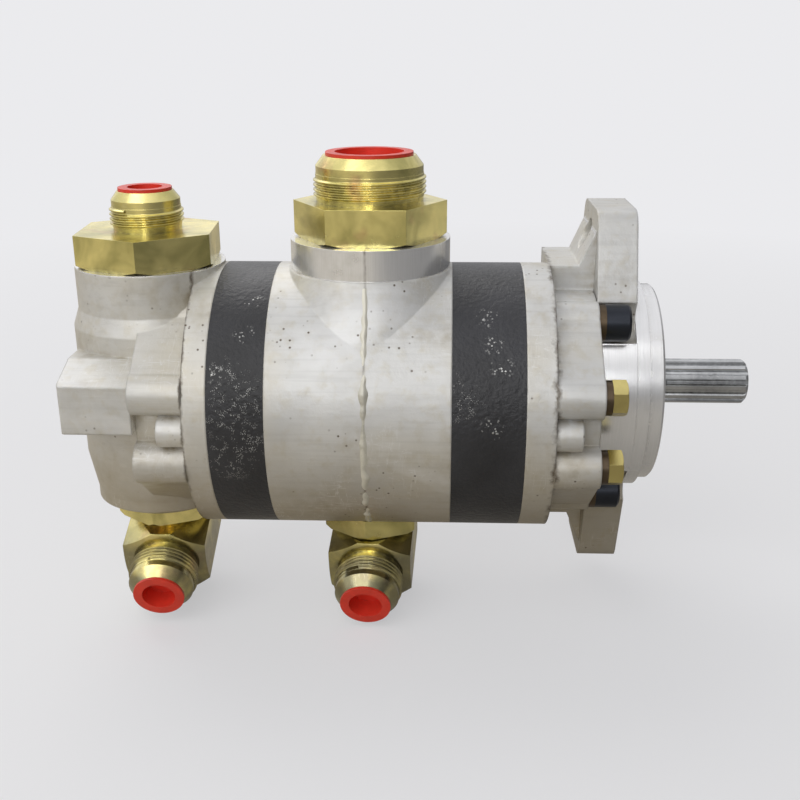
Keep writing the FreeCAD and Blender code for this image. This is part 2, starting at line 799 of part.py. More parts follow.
def spline_face(growth):
    """Face of the splines; growth widens it all round for an internal spline."""
    return involute_profile(int(S.spline_teeth.value), S.spline_module.value,
                            S.spline_pressure_angle.value, S.spline_radius.value + growth,
                            S.spline_root_radius.value + growth, -2 * growth)


def turned(label, steps, y=0):
    """A body turned about X from (station, radius) steps, closed along its axis."""
    piece = Casting(label)
    profile = piece.sketch("XY_Plane")
    points = [(steps[0][0], 0)] + steps + [(steps[-1][0], 0)]
    draw_outline(profile, points)
    piece.turn(profile)
    return place(piece.body, 0, y, 0)


def rod(label, radius, length):
    made = doc.addObject("Part::Cylinder", label)
    bind(made, "Radius", radius)
    bind(made, "Height", length)
    return made


def joined(label, pieces):
    made = doc.addObject("Part::MultiFuse", label)
    made.Shapes = pieces
    return made


def gathered(label, pieces):
    """Separate solids that share one node."""
    made = doc.addObject("Part::Compound", label)
    made.Links = pieces
    return made


def journal_steps(low, high):
    return [(low, S.journal_radius), (high, S.journal_radius)]


FRONT_GEAR = (FRONT_JOINT + SPACER, S.front_ring_length - 2 * SPACER)
REAR_GEAR = (CENTRE_JOINT - S.rear_ring_length + SPACER, S.rear_ring_length - 2 * SPACER)
FRONT_BUSH_END = COVER_JOINT + S.bush_length
COUPLING_MIDDLE = (FRONT_JOINT + CENTRE_JOINT) / 2
FRONT_STUB_END = COUPLING_MIDDLE + S.coupling_length / 2 - S.coupling_engagement
REAR_STUB_END = COUPLING_MIDDLE - S.coupling_length / 2 + S.coupling_engagement
CENTRE_BUSH_FRONT = FRONT_JOINT - S.bush_length
CENTRE_BUSH_REAR = CENTRE_JOINT + S.bush_length


def make_drive_shaft():
    """Input shaft with the front section's gear cut on it and splines at both ends."""
    spline_start = S.shaft_reach - S.spline_length
    land = NOSE_FACE - S.clip_thickness
    blank = turned("drive_shaft_blank", [
        (FRONT_STUB_END, S.spline_root_radius), (CENTRE_BUSH_FRONT, S.spline_root_radius),
        (CENTRE_BUSH_FRONT, S.journal_radius), (land, S.journal_radius),
        (land, S.spline_radius), (spline_start - S.spline_run_out, S.spline_radius),
        (spline_start, S.spline_root_radius), (S.shaft_reach, S.spline_root_radius),
    ])
    tall = S.spline_length + S.spline_run_out
    spline = toothed("drive_spline_teeth", S.shaft_reach - tall, tall, spline_face(0))
    bevel = doc.addObject("Part::Cone", "drive_spline_bevel")
    bind(bevel, "Radius1", S.spline_radius - S.shaft_chamfer)
    bind(bevel, "Radius2", S.spline_radius - S.shaft_chamfer + tall)
    bind(bevel, "Height", tall)
    place(bevel, S.shaft_reach, 0, 0, AGAINST_AXIAL)
    ends = doc.addObject("Part::MultiCommon", "drive_spline")
    ends.Shapes = [spline, bevel]
    inner = toothed("inner_spline_teeth", FRONT_STUB_END, CENTRE_BUSH_FRONT - FRONT_STUB_END,
                    spline_face(0))
    teeth = gear_teeth("drive_shaft_teeth", *FRONT_GEAR, DRIVE_Y, False)
    return joined("drive_shaft", [blank, teeth, ends, inner])


def make_rear_drive_gear():
    low = REAR_JOINT - S.bush_length + S.gear_end_play
    blank = turned("rear_drive_blank", [
        (low, S.journal_radius), (CENTRE_BUSH_REAR, S.journal_radius),
        (CENTRE_BUSH_REAR, S.spline_root_radius), (REAR_STUB_END, S.spline_root_radius),
    ])
    stub = toothed("rear_stub_teeth", CENTRE_BUSH_REAR, REAR_STUB_END - CENTRE_BUSH_REAR, spline_face(0))
    teeth = gear_teeth("rear_drive_teeth", *REAR_GEAR, DRIVE_Y, False)
    return joined("rear_drive_gear", [blank, teeth, stub])


def make_coupling():
    """Sleeve with an internal spline that joins the two drive gears."""
    start = COUPLING_MIDDLE - S.coupling_length / 2
    blank = place(rod("coupling_blank", S.coupling_radius, S.coupling_length), start, 0, 0, AXIAL)
    bore = toothed("coupling_bore", start, S.coupling_length, spline_face(S.coupling_clearance.value))
    return subtracted("coupling_sleeve", blank, bore)


def make_driven_gear(label, gear, low, high):
    blank = turned(f"{label}_blank", journal_steps(low, high), DRIVEN_Y)
    return joined(label, [blank, gear_teeth(f"{label}_teeth", *gear, DRIVEN_Y, True)])


def subtracted(label, base, tool):
    made = doc.addObject("Part::Cut", label)
    made.Base = base
    made.Tool = tool
    return made


def tube(label, start, length, y, outer, inner):
    """A plain ring about an axis along X."""
    outside = rod(f"{label}_outside", outer, length)
    inside = rod(f"{label}_inside", inner, length)
    for piece in (outside, inside):
        place(piece, start, y, 0, AXIAL)
    return subtracted(label, outside, inside)


def make_bushes(label, start):
    pieces = [
        tube(f"{label}_{name}", start, S.bush_length - S.gear_end_play, y, S.bush_radius, JOURNAL_BORE)
        for name, y in (("drive", DRIVE_Y), ("driven", DRIVEN_Y))
    ]
    return gathered(label, pieces)


def make_wear_plate(label, start):
    """Figure-of-eight plate between the gears' ends and the bushes."""
    plate = Casting(label)
    radius = CAVITY_RADIUS - S.seat_clearance
    for centre in (DRIVE_Y, DRIVEN_Y):
        plate.round_pad(start, S.plate_thickness, [(centre, 0, radius)])
    for centre in (DRIVE_Y, DRIVEN_Y):
        plate.round_cut(start, S.plate_thickness, [(centre, 0, JOURNAL_BORE + S.tip_clearance)])
    half = S.plate_notch_width / 2
    for lift in PLUS_MINUS:
        plate.flat_cut(start, S.plate_thickness, [
            (BODY_Y - half, lift * S.gallery_low), (BODY_Y + half, lift * S.gallery_low),
            (BODY_Y + half, lift * TIP_RADIUS), (BODY_Y - half, lift * TIP_RADIUS),
        ])
    return plate.body


def make_wear_plates(label, low, high):
    pieces = [make_wear_plate(f"{label}_rearward", low),
              make_wear_plate(f"{label}_forward", high - S.plate_thickness)]
    return gathered(label, pieces)


def make_section_seals():
    """Racetrack seals in the grooves of the four section joints."""
    depth = S.section_seal_depth
    starts = [COVER_JOINT, FRONT_JOINT - depth, CENTRE_JOINT, REAR_JOINT - depth]
    half = S.section_seal_width / 2 - S.seat_clearance
    pieces = []
    for number, start in enumerate(starts, start=1):
        seal = Casting(f"section_seal_{number}")
        profile = seal.sketch("YZ_Plane", start)
        draw_racetrack(profile, S.section_seal_radius + half)
        draw_racetrack(profile, S.section_seal_radius - half)
        seal.feature("Pad", profile, Length=depth)
        pieces.append(seal.body)
    return gathered("section_seals", pieces)


def make_shaft_seal():
    start = NOSE_FACE - S.seal_bore_depth
    return tube("shaft_seal", start, S.seal_length, DRIVE_Y, S.seal_bore_radius - S.seat_clearance,
                S.journal_radius + S.seal_lip_gap)


def make_seal_clip():
    start = NOSE_FACE - S.seal_bore_depth + S.seal_length
    outer = S.seal_bore_radius + S.clip_groove_depth - S.seat_clearance
    return tube("seal_retaining_ring", start, S.clip_thickness, DRIVE_Y, outer, S.clip_bore_radius)


def make_dowels():
    pieces = []
    joints = (COVER_JOINT, FRONT_JOINT, CENTRE_JOINT, REAR_JOINT)
    for number, joint in enumerate(joints, start=1):
        for name, side in (("far", FAR), ("near", NEAR)):
            pin = rod(f"dowel_{number}_{name}", S.dowel_radius, S.dowel_length)
            place(pin, joint - S.dowel_length / 2, BODY_Y + side * DOWEL_ACROSS, 0, AXIAL)
            pieces.append(pin)
    return gathered("dowel_pins", pieces)


def corner_radius(flats):
    """Distance from a hexagon's middle to its corners."""
    return flats / 2 / cosine(S.hex_half_angle)


def prism(label, flats, height):
    made = doc.addObject("Part::Prism", label)
    made.Polygon = 6
    bind(made, "Circumradius", corner_radius(flats))
    bind(made, "Height", height)
    return made


def bolt(label, shank_radius, shank_length, head):
    """A bolt about its own Z axis, its head standing on z = 0 and its shank below."""
    shank = place(rod(f"{label}_shank", shank_radius, shank_length), 0, 0, -shank_length)
    return joined(label, [shank, head])


def hex_bolt(label, shank_length):
    head = prism(f"{label}_head", S.hex_head_flats, S.hex_head_height)
    crown = doc.addObject("Part::Cone", f"{label}_crown")
    bind(crown, "Radius1", S.hex_head_flats / 2 + S.hex_head_height * S.hex_crown_slope)
    bind(crown, "Radius2", S.hex_head_flats / 2)
    bind(crown, "Height", S.hex_head_height)
    shaped = doc.addObject("Part::MultiCommon", f"{label}_shaped_head")
    shaped.Shapes = [head, crown]
    return bolt(label, S.hex_shank_radius, shank_length, shaped)


def socket_bolt(label, shank_length):
    outer, top, chamfer = S.socket_head_radius, S.socket_head_height, S.socket_head_chamfer
    head = revolved(f"{label}_head", [
        (0, 0), (outer, 0), (outer, top - chamfer), (outer - chamfer, top), (0, top)])
    key = prism(f"{label}_key", S.socket_key_flats, S.socket_key_depth)
    place(key, 0, 0, top - S.socket_key_depth)
    drilled = subtracted(f"{label}_drilled_head", head.body, key)
    return bolt(label, S.socket_shank_radius, shank_length, drilled)


def make_tie_bolts(label, maker, across, up, sides):
    """Bolts with their heads on their lock washers, in pairs on the sides given."""
    lengths = {NEAR: BOSS_FACE - REAR_JOINT, FAR: COVER_JOINT - REAR_BOSS_FACE}
    faces = {NEAR: BOSS_FACE + S.washer_height, FAR: REAR_BOSS_FACE - S.washer_height}
    turns = {NEAR: AXIAL, FAR: AGAINST_AXIAL}
    pieces = []
    for side in sides:
        length = lengths[side] + S.thread_engagement + S.washer_height
        for lift in PLUS_MINUS:
            made = maker(f"{label}_{len(pieces) + 1}", length)
            pieces.append(place(made, faces[side], BODY_Y + side * across, lift * up, turns[side]))
    return gathered(label, pieces)


def make_lock_washer(label, start, bore):
    """A split ring about the X axis."""
    ring = tube(f"{label}_ring", start, S.washer_height, 0, bore + S.washer_wall, bore)
    slit = doc.addObject("Part::Box", f"{label}_slit")
    bind(slit, "Length", S.washer_height)
    bind(slit, "Width", S.washer_slit)
    bind(slit, "Height", bore + S.washer_wall)
    place(slit, start, -S.washer_slit / 2, 0)
    return subtracted(label, ring, slit)


def make_lock_washers():
    pieces = []
    for side, start in ((NEAR, BOSS_FACE), (FAR, REAR_BOSS_FACE - S.washer_height)):
        for y, z, bore in bolt_circles(side, HEX_HOLE, SOCKET_HOLE):
            washer = make_lock_washer(f"lock_washer_{len(pieces) + 1}", start, bore)
            pieces.append(place(washer, 0, y, z))
    return gathered("lock_washers", pieces)


def revolved(label, steps):
    """A body turned about its own Z axis from (radius, height) corners."""
    piece = Casting(label)
    profile = piece.sketch("XZ_Plane")
    draw_outline(profile, steps)
    piece.turn(profile, "V_Axis")
    return piece


def hose_end(radius, thread, band, tip, bore, foot):
    """Corners of a male hose end that starts at height foot: neck, thread, band, cone."""
    neck = foot + S.neck_height
    top = neck + thread
    shoulder = top + band
    crest = radius - S.thread_depth
    return [
        (crest, foot), (crest, neck), (radius, neck), (radius, top), (crest, top), (crest, shoulder),
        (crest - tip * tangent(S.nose_angle), shoulder + tip), (bore, shoulder + tip),
    ]


def hose_length(thread, band, tip):
    return S.neck_height + thread + band + tip


ELBOW_HOSE_LENGTH = hose_length(S.elbow_thread_length, S.elbow_band_length, S.elbow_tip_length)


def make_inlet_adapter(label, x, height, turn, over, thread, bore):
    """Straight adapter: port stud, hexagon as tall as over, and hose end about one bore."""
    radius, thread_length, band, tip = thread
    under = S.thread_relief - S.port_stud_length
    steps = [(bore, under), (S.port_stud_radius, under), (S.port_stud_radius, over)]
    steps += hose_end(radius, thread_length, band, tip, bore, over)
    turned_part = revolved(f"{label}_turned", steps)
    across = corner_radius(S.inlet_hex_flats)
    hexagon = prism(f"{label}_hexagon", S.inlet_hex_flats, over)
    bevel = revolved(f"{label}_bevel", [
        (bore, 0), (across - S.hex_chamfer * 2, 0), (across, S.hex_chamfer), (across, over), (bore, over)])
    body = doc.addObject("Part::MultiCommon", f"{label}_wrench_body")
    body.Shapes = [hexagon, bevel.body]
    adapter = joined(label, [turned_part.body, body])
    return place(adapter, x, BODY_Y, height, Rotation(Vector(0, 0, 1), turn))


def make_locknut(label, x, face, height, bore):
    """Hexagon nut under a port face."""
    hexagon = prism(f"{label}_hexagon", S.outlet_hex_flats, height)
    across = corner_radius(S.outlet_hex_flats)
    bevel = revolved(f"{label}_bevel", [
        (bore, 0), (across - S.hex_chamfer, 0), (across, S.hex_chamfer), (across, height), (bore, height)])
    nut = doc.addObject("Part::MultiCommon", label)
    nut.Shapes = [hexagon, bevel.body]
    turn = Rotation(Vector(0, 0, 1), S.hex_half_angle.value + S.outlet_hex_turn.value)
    return place(nut, x, BODY_Y, face - height, turn)


def make_rear_outlet_adapter():
    """Port adapter whose swivel neck carries the rear elbow."""
    height = S.rear_outlet_hex_height
    stud = revolved("rear_outlet_stud", [
        (S.outlet_bore_radius, -S.swivel_neck_height), (S.swivel_neck_radius, -S.swivel_neck_height),
        (S.swivel_neck_radius, height), (S.outlet_stud_radius, height),
        (S.outlet_stud_radius, height + S.outlet_stud_length),
        (S.outlet_bore_radius, height + S.outlet_stud_length)])
    nut = make_locknut("rear_outlet_nut", 0, height, height, S.outlet_bore_radius)
    nut.Placement.Base = Vector(0, 0, 0)
    for letter in "yz":
        bind(nut, f"Placement.Base.{letter}", 0)
    adapter = joined("rear_outlet_adapter", [stud.body, nut])
    return place(adapter, REAR_PORT_X, BODY_Y, REAR_OUTLET_FACE - height)


def bevelled_bar(label):
    """Hexagonal bar about its own Z axis, centred on the bend, with its ends turned off."""
    half, end = S.elbow_half_length, S.elbow_bar_end_radius
    bar = prism(f"{label}_hexagon", S.elbow_hex_flats, 2 * half)
    place(bar, 0, 0, -half, Rotation(Vector(0, 0, 1), S.hex_half_angle.value))
    edge = corner_radius(S.elbow_hex_flats)
    slope = half - (edge - end) * tangent(S.hex_half_angle)
    bevel = revolved(f"{label}_bevel", [
        (0, -half), (end, -half), (edge, -slope), (edge, slope), (end, half), (0, half)])
    made = doc.addObject("Part::MultiCommon", label)
    made.Shapes = [bar, bevel.body]
    return made


def make_elbow(label, x, bend, turn, top, stud_top):
    """Elbow about its bend point: hexagonal bar and hose end on the tilted outlet axis,
    cut level at top, with an upright stud that reaches stud_top above the bend."""
    half = S.elbow_half_length
    ends = hose_end(S.elbow_thread_radius, S.elbow_thread_length, S.elbow_band_length,
                    S.elbow_tip_length, S.elbow_bore_radius, half)
    hose = revolved(f"{label}_hose_end", [(S.elbow_bore_radius, 0), (ends[0][0], 0)] + ends[1:])
    outlet = joined(f"{label}_outlet", [bevelled_bar(f"{label}_bar"), hose.body])
    drill = rod(f"{label}_outlet_bore", S.elbow_bore_radius, half + ELBOW_HOSE_LENGTH)
    bored = subtracted(f"{label}_bored_outlet", outlet, drill)
    place(bored, 0, 0, 0, Rotation(Vector(1, 0, 0), 90 + S.elbow_tilt.value))
    cap = doc.addObject("Part::Box", f"{label}_top_cut")
    for side in ("Length", "Width", "Height"):
        bind(cap, side, 4 * half)
    place(cap, -2 * half, -2 * half, top)
    trimmed = subtracted(f"{label}_trimmed", bored, cap)
    stud = place(rod(f"{label}_stud", S.outlet_stud_radius, stud_top), 0, 0, 0)
    bore = rod(f"{label}_stud_bore", S.outlet_bore_radius, stud_top)
    elbow = subtracted(label, joined(f"{label}_whole", [trimmed, stud]), bore)
    return place(elbow, x, BODY_Y, bend, Rotation(Vector(0, 0, 1), turn))


def make_plug(label, bore):
    """Cup-shaped plastic plug about its own Z axis, its rim standing on z = 0."""
    skirt, wall = bore - S.plug_clearance, S.plug_wall
    rim, hollow = bore + S.plug_rim, skirt - wall
    deep, floor = -S.plug_depth, S.plug_floor - S.plug_depth
    plug = revolved(label, [
        (0, deep), (skirt - wall / 2, deep), (skirt, deep + wall), (skirt, 0), (rim, 0),
        (rim, S.plug_rim_height), (hollow, S.plug_rim_height), (hollow, floor), (0, floor)])
    return plug.body


def outlet_point(x, bend, turn):
    """Where an outlet's tip lies: along the tilted axis from the bend."""
    reach = S.elbow_half_length + ELBOW_HOSE_LENGTH
    direction = outlet_turn(turn).multVec(Vector(0, 0, 1))
    return [x + reach * direction.x, BODY_Y + reach * direction.y, bend + reach * direction.z]


def outlet_turn(turn):
    """Rotation that takes +Z to the outlet's direction."""
    upright = Rotation(Vector(0, 0, 1), turn)
    return upright.multiply(Rotation(Vector(1, 0, 0), 90 + S.elbow_tilt.value))


FRONT_BEND = FRONT_OUTLET_FACE - S.elbow_drop
REAR_BEND = REAR_OUTLET_FACE - S.rear_elbow_drop


def make_outlets():
    front_top = FRONT_OUTLET_FACE - S.outlet_hex_height - S.elbow_gap - FRONT_BEND
    rear_top = REAR_OUTLET_FACE - S.rear_outlet_hex_height - S.swivel_neck_height - REAR_BEND
    return [
        make_locknut("front_outlet_locknut", FRONT_PORT_X, FRONT_OUTLET_FACE, S.outlet_hex_height,
                     S.outlet_stud_radius + S.seat_clearance),
        make_elbow("front_outlet_elbow", FRONT_PORT_X, FRONT_BEND, S.front_elbow_turn.value, front_top,
                   FRONT_OUTLET_FACE + S.outlet_stud_length - FRONT_BEND),
        make_rear_outlet_adapter(),
        make_elbow("rear_outlet_elbow", REAR_PORT_X, REAR_BEND, S.rear_elbow_turn.value, rear_top,
                   rear_top),
    ]


def make_inlets():
    front = (S.front_inlet_thread_radius, S.front_inlet_thread_length, S.front_inlet_band_length,
             S.front_inlet_tip_length)
    rear = (S.rear_inlet_thread_radius, S.rear_inlet_thread_length, S.rear_inlet_band_length,
            S.rear_inlet_tip_length)
    return [
        make_inlet_adapter("front_inlet_adapter", FRONT_PORT_X, FRONT_PORT_FACE, 0,
                           S.front_inlet_hex_height, front, S.front_inlet_bore_radius),
        make_inlet_adapter("rear_inlet_adapter", REAR_PORT_X, REAR_PORT_FACE,
                           S.hex_half_angle.value + S.rear_inlet_turn.value,
                           S.rear_inlet_hex_height, rear, S.rear_inlet_bore_radius),
    ]


def make_plugs():
    front_top = FRONT_PORT_FACE + S.front_inlet_hex_height + hose_length(
        S.front_inlet_thread_length, S.front_inlet_band_length, S.front_inlet_tip_length)
    rear_top = REAR_PORT_FACE + S.rear_inlet_hex_height + hose_length(
        S.rear_inlet_thread_length, S.rear_inlet_band_length, S.rear_inlet_tip_length)
    front_turn, rear_turn = S.front_elbow_turn.value, S.rear_elbow_turn.value
    return [
        place(make_plug("front_inlet_plug", S.front_inlet_bore_radius), FRONT_PORT_X, BODY_Y, front_top),
        place(make_plug("rear_inlet_plug", S.rear_inlet_bore_radius), REAR_PORT_X, BODY_Y, rear_top),
        place(make_plug("front_outlet_plug", S.elbow_bore_radius),
              *outlet_point(FRONT_PORT_X, FRONT_BEND, front_turn), outlet_turn(front_turn)),
        place(make_plug("rear_outlet_plug", S.elbow_bore_radius),
              *outlet_point(REAR_PORT_X, REAR_BEND, rear_turn), outlet_turn(rear_turn)),
    ]


def make_pump():
    end_play = S.gear_end_play
    return [
        make_front_cover(),
        make_gear_housing("front_gear_housing", FRONT_JOINT, S.front_ring_length),
        make_centre_housing(),
        make_gear_housing("rear_gear_housing", REAR_JOINT, S.rear_ring_length),
        make_rear_cover(),
        make_drive_shaft(),
        make_coupling(),
        make_rear_drive_gear(),
        make_driven_gear("front_driven_gear", FRONT_GEAR, CENTRE_BUSH_FRONT, FRONT_BUSH_END - end_play),
        make_driven_gear("rear_driven_gear", REAR_GEAR, REAR_JOINT - S.bush_length + end_play,
                         CENTRE_BUSH_REAR),
        make_bushes("front_cover_bushes", COVER_JOINT + end_play),
        make_bushes("centre_front_bushes", CENTRE_BUSH_FRONT),
        make_bushes("centre_rear_bushes", CENTRE_JOINT + end_play),
        make_bushes("rear_cover_bushes", REAR_JOINT - S.bush_length),
        make_wear_plates("front_wear_plates", FRONT_JOINT, COVER_JOINT),
        make_wear_plates("rear_wear_plates", REAR_JOINT, CENTRE_JOINT),
        make_section_seals(),
        make_shaft_seal(),
        make_seal_clip(),
        make_dowels(),
        make_tie_bolts("hex_tie_bolts", hex_bolt, HEX_ACROSS, S.hex_offset_up, (NEAR, FAR)),
        make_tie_bolts("socket_tie_bolts", socket_bolt, S.socket_offset_across, SOCKET_UP, (NEAR,)),
        make_lock_washers(),
        *make_inlets(),
        *make_outlets(),
        *make_plugs(),
    ]


def check(parts):
    """Stop on any failed feature or unsound solid before anything is written."""
    for item in doc.Objects:
        if {"Invalid", "Error"} & set(item.State):
            raise RuntimeError(f"{item.Label} failed: {item.State}")
    for part in parts:
        if part.Shape.isNull() or not part.Shape.isValid() or not part.Shape.Solids:
            raise RuntimeError(f"{part.Label} has no sound solid")


def main():
    parts = make_pump()
    doc.recompute()
    check(parts)
    os.makedirs("parts", exist_ok=True)
    for part in parts:
        part.Shape.exportStep(f"parts/{part.Label}.step")


main()
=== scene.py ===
import json
import math
from functools import partial

import bmesh
import bpy
from mathutils import Matrix, Vector, noise
from mathutils.bvhtree import BVHTree


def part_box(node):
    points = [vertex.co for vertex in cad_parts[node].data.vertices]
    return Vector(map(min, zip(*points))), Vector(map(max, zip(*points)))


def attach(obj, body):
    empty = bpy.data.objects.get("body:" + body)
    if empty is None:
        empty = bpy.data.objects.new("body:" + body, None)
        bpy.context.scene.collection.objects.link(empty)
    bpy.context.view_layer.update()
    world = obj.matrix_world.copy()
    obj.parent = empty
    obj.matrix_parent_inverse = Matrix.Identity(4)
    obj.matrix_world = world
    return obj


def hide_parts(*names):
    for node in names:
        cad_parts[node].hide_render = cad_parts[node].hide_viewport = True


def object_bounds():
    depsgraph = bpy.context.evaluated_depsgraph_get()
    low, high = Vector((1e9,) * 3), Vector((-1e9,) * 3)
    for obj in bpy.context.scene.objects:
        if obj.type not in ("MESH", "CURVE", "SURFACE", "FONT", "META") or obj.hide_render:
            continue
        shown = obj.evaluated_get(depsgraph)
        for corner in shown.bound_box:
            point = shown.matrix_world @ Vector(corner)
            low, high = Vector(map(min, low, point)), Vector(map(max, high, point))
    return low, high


bl_info = {
    "name": "Tandem gear pump finish",
    "version": (1, 0, 0),
    "blender": (4, 5, 0),
    "location": "3D View > Sidebar > Gear pump",
    "description": "Dresses the pump's solids with cast, machined and plated finishes",
    "category": "Object",
}

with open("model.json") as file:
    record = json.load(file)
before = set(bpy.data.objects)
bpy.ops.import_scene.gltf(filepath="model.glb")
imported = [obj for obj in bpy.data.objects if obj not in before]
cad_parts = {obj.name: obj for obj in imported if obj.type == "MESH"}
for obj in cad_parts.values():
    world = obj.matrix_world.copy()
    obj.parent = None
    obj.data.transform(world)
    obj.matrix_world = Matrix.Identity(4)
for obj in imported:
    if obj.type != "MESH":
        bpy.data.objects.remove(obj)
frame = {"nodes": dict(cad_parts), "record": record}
CAD_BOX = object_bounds()
MM = 0.001
X = Vector((1, 0, 0))


# ---- places read from the frame ------------------------------------------------------

def span(node):
    """Lowest corner, highest corner and middle of a node."""
    low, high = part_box(node)
    return low, high, (low + high) / 2


def body_axis():
    """Y of the round body's axis, and its radius."""
    low, high, middle = span("front_gear_housing")
    return middle.y, (high.z - low.z) / 2


def mount(name):
    """Position, direction and sizes of one of the record's mounts."""
    found = next(entry for entry in frame["record"]["mounts"] if entry["name"] == name)
    return Vector(found["pos_m"]), Vector(found["axis"]).normalized(), found["dims"]


BODY_Y, BODY_RADIUS = body_axis()
SHAFT_Y = mount("mounting_face")[0].y
PORT_X = mount("front_inlet_thread")[0].x
# Stations of the covers' rims and bolt faces along the shaft, and the flange's disc.
RIM_X, BOSS_X = -38.5 * MM, -18.5 * MM
REAR_RIM_X, REAR_BOSS_X = -198.5 * MM, -221.5 * MM
DISC_RADIUS = 51.8 * MM
# How far off its plane a face may lie and still count as machined.
FACE_REACH = 0.25 * MM
# Points nearer than this are the same place.
SAME_PLACE = 0.01 * MM
# Angles about the body's axis that the parting flash runs between, near side and far.
FLASH_ARCS = ((-62, 58), (122, 242))
# How far the flash's feet and its root lie under the skin, and where its rays start.
FOOT_SINK, ROOT_SINK, RAY_START = 0.12 * MM, 0.6 * MM, 0.2
# A thread ridge's half widths at foot and crest, in pitches, and how far its root is sunk.
RIDGE_FOOT, RIDGE_CREST, RIDGE_SINK = 0.44, 0.10, 0.15 * MM
# Steps of the ridge in each turn.
RIDGE_STEPS = 48
# Where the black paint has lost chips: station from the ring's rear face in millimetres, and
# angle above the near side.
DENSE_CHIPS = {
    "rear_gear_housing": ((8, 22), (16, 15), (9, 8), (16, -2), (9, -10)),
    "front_gear_housing": ((2, 16),),
}
SPARSE_CHIPS = {
    "rear_gear_housing": ((18, 57), (16, 41), (4, 25), (6, 150)),
    "front_gear_housing": ((15, 50), (18, 38), (21, 29), (17, 5), (9, 165)),
}
# Heights between which the plating's tarnish and painted shade fade in, downwards.
TARNISH_AND_SHADE_SPAN = (-0.064, -0.076)
# Towards the brightest part of the room, and the X between which the floor's bounce dims.
ROOM_BRIGHT_SIDE = (-0.50, 0.25, 0.83)
BOUNCE_SPAN = (-0.20, 0.30)
FLOOR_SIZE, FLOOR_GAP = 30.0, 0.2 * MM
# Share of the floor's white that shows in a reflection.
FLOOR_REFLECTED = 0.22
# Distances from the pump between which the floor turns into plain backdrop.
FLOOR_FADE = (0.25, 1.1)
# Each lamp's bearing and height in degrees, its size, radiance and tint.
LAMP_DISTANCE = 3.0
LAMPS = {
    "key": (-26, 38, 3.0, 1.5, (1.0, 0.995, 0.98)),
    "back": (212, 50, 2.2, 2.0, (1.0, 0.98, 0.95)),
    "front": (0, 20, 0.6, 8.0, (0.97, 0.98, 1.0)),
}


def on_body(x, degrees):
    """Point on the round body, by its station and its angle above the near side."""
    angle = math.radians(degrees)
    return Vector((x, BODY_Y - BODY_RADIUS * math.cos(angle), BODY_RADIUS * math.sin(angle)))


# ---- settings ------------------------------------------------------------------------

def colour(name, description, default):
    return bpy.props.FloatVectorProperty(
        name=name, description=description, subtype="COLOR", size=3, min=0, max=1,
        default=default)


def length(name, description, default):
    return bpy.props.FloatProperty(
        name=name, description=description, unit="LENGTH", default=default)


class GearPumpFinish(bpy.types.PropertyGroup):
    """Colours of the pump's finishes"""

    cast: colour("Casting", "Cast aluminium", (0.665, 0.665, 0.655))
    cast_warm: colour("Warm casting", "Yellowed parts of the castings", (0.63, 0.57, 0.43))
    turned: colour("Turned face", "Machined aluminium", (0.90, 0.90, 0.905))
    scuff: colour("Scuff", "Bright rubbed aluminium", (0.82, 0.825, 0.835))
    flash: colour("Flash", "Rubbed ridge along the parting line", (0.74, 0.715, 0.62))
    # The stain colour also paints shade: the castings' lower half and their corners.
    stain_and_shade: colour("Stain", "Dirt and oil held by the castings", (0.30, 0.245, 0.15))
    # The soot colour also paints shade in the fittings' corners and recesses.
    soot_and_shade: colour("Soot", "Dirt burnt on along the joints", (0.095, 0.068, 0.042))
    paint: colour("Black paint", "Paint of the gear housings", (0.018, 0.018, 0.020))
    paint_dust: colour("Dusty paint", "Paint with dust on it", (0.055, 0.056, 0.064))
    chips: colour("Chips", "Bare metal where the paint has chipped", (0.46, 0.46, 0.45))
    zinc: colour("Yellow zinc", "Plating of the fittings", (0.95, 0.83, 0.34))
    zinc_dark: colour("Dark zinc", "Darker olive of the plating", (0.52, 0.47, 0.18))
    zinc_rose: colour("Rose zinc", "Iridescent patches of the plating", (0.74, 0.46, 0.24))
    zinc_worn: colour("Worn zinc", "Scratches in the plating", (0.75, 0.72, 0.55))
    # The tarnish colour also paints shade on the lower fittings.
    tarnish_and_shade: colour("Tarnish", "Oiled plating of the lower fittings", (0.21, 0.20, 0.15))
    pale_zinc: colour("Pale zinc", "Plating of the hexagon bolts", (0.66, 0.56, 0.22))
    oxide: colour("Black oxide", "Socket head bolts", (0.028, 0.032, 0.042))
    steel: colour("Shaft steel", "Ground steel", (0.56, 0.57, 0.575))
    plastic: colour("Red plastic", "Shipping plugs", (0.86, 0.055, 0.030))
    bronze: colour("Bronze", "Bushes and wear plates", (0.55, 0.38, 0.17))
    rubber: colour("Rubber", "Seals", (0.02, 0.02, 0.02))


class GearPumpDetail(bpy.types.PropertyGroup):
    """Sizes of the pump's fine detail"""

    edge: length("Edge", "Rounding of the cast edges", 1.3 * MM)
    machined_edge: length("Machined edge", "Break of the machined edges", 0.25 * MM)
    thread_pitch: length("Thread pitch", "Pitch of the hose threads", 2.1 * MM)
    thread_depth: length("Thread depth", "Depth of the hose threads", 1.0 * MM)
    flash_height: length("Flash height", "How far the parting flash stands out", 1.5 * MM)
    flash_width: length("Flash width", "Mean width of the parting flash", 3.6 * MM)
    flash_step: length("Flash step", "Distance between the flash's stations", 0.6 * MM)


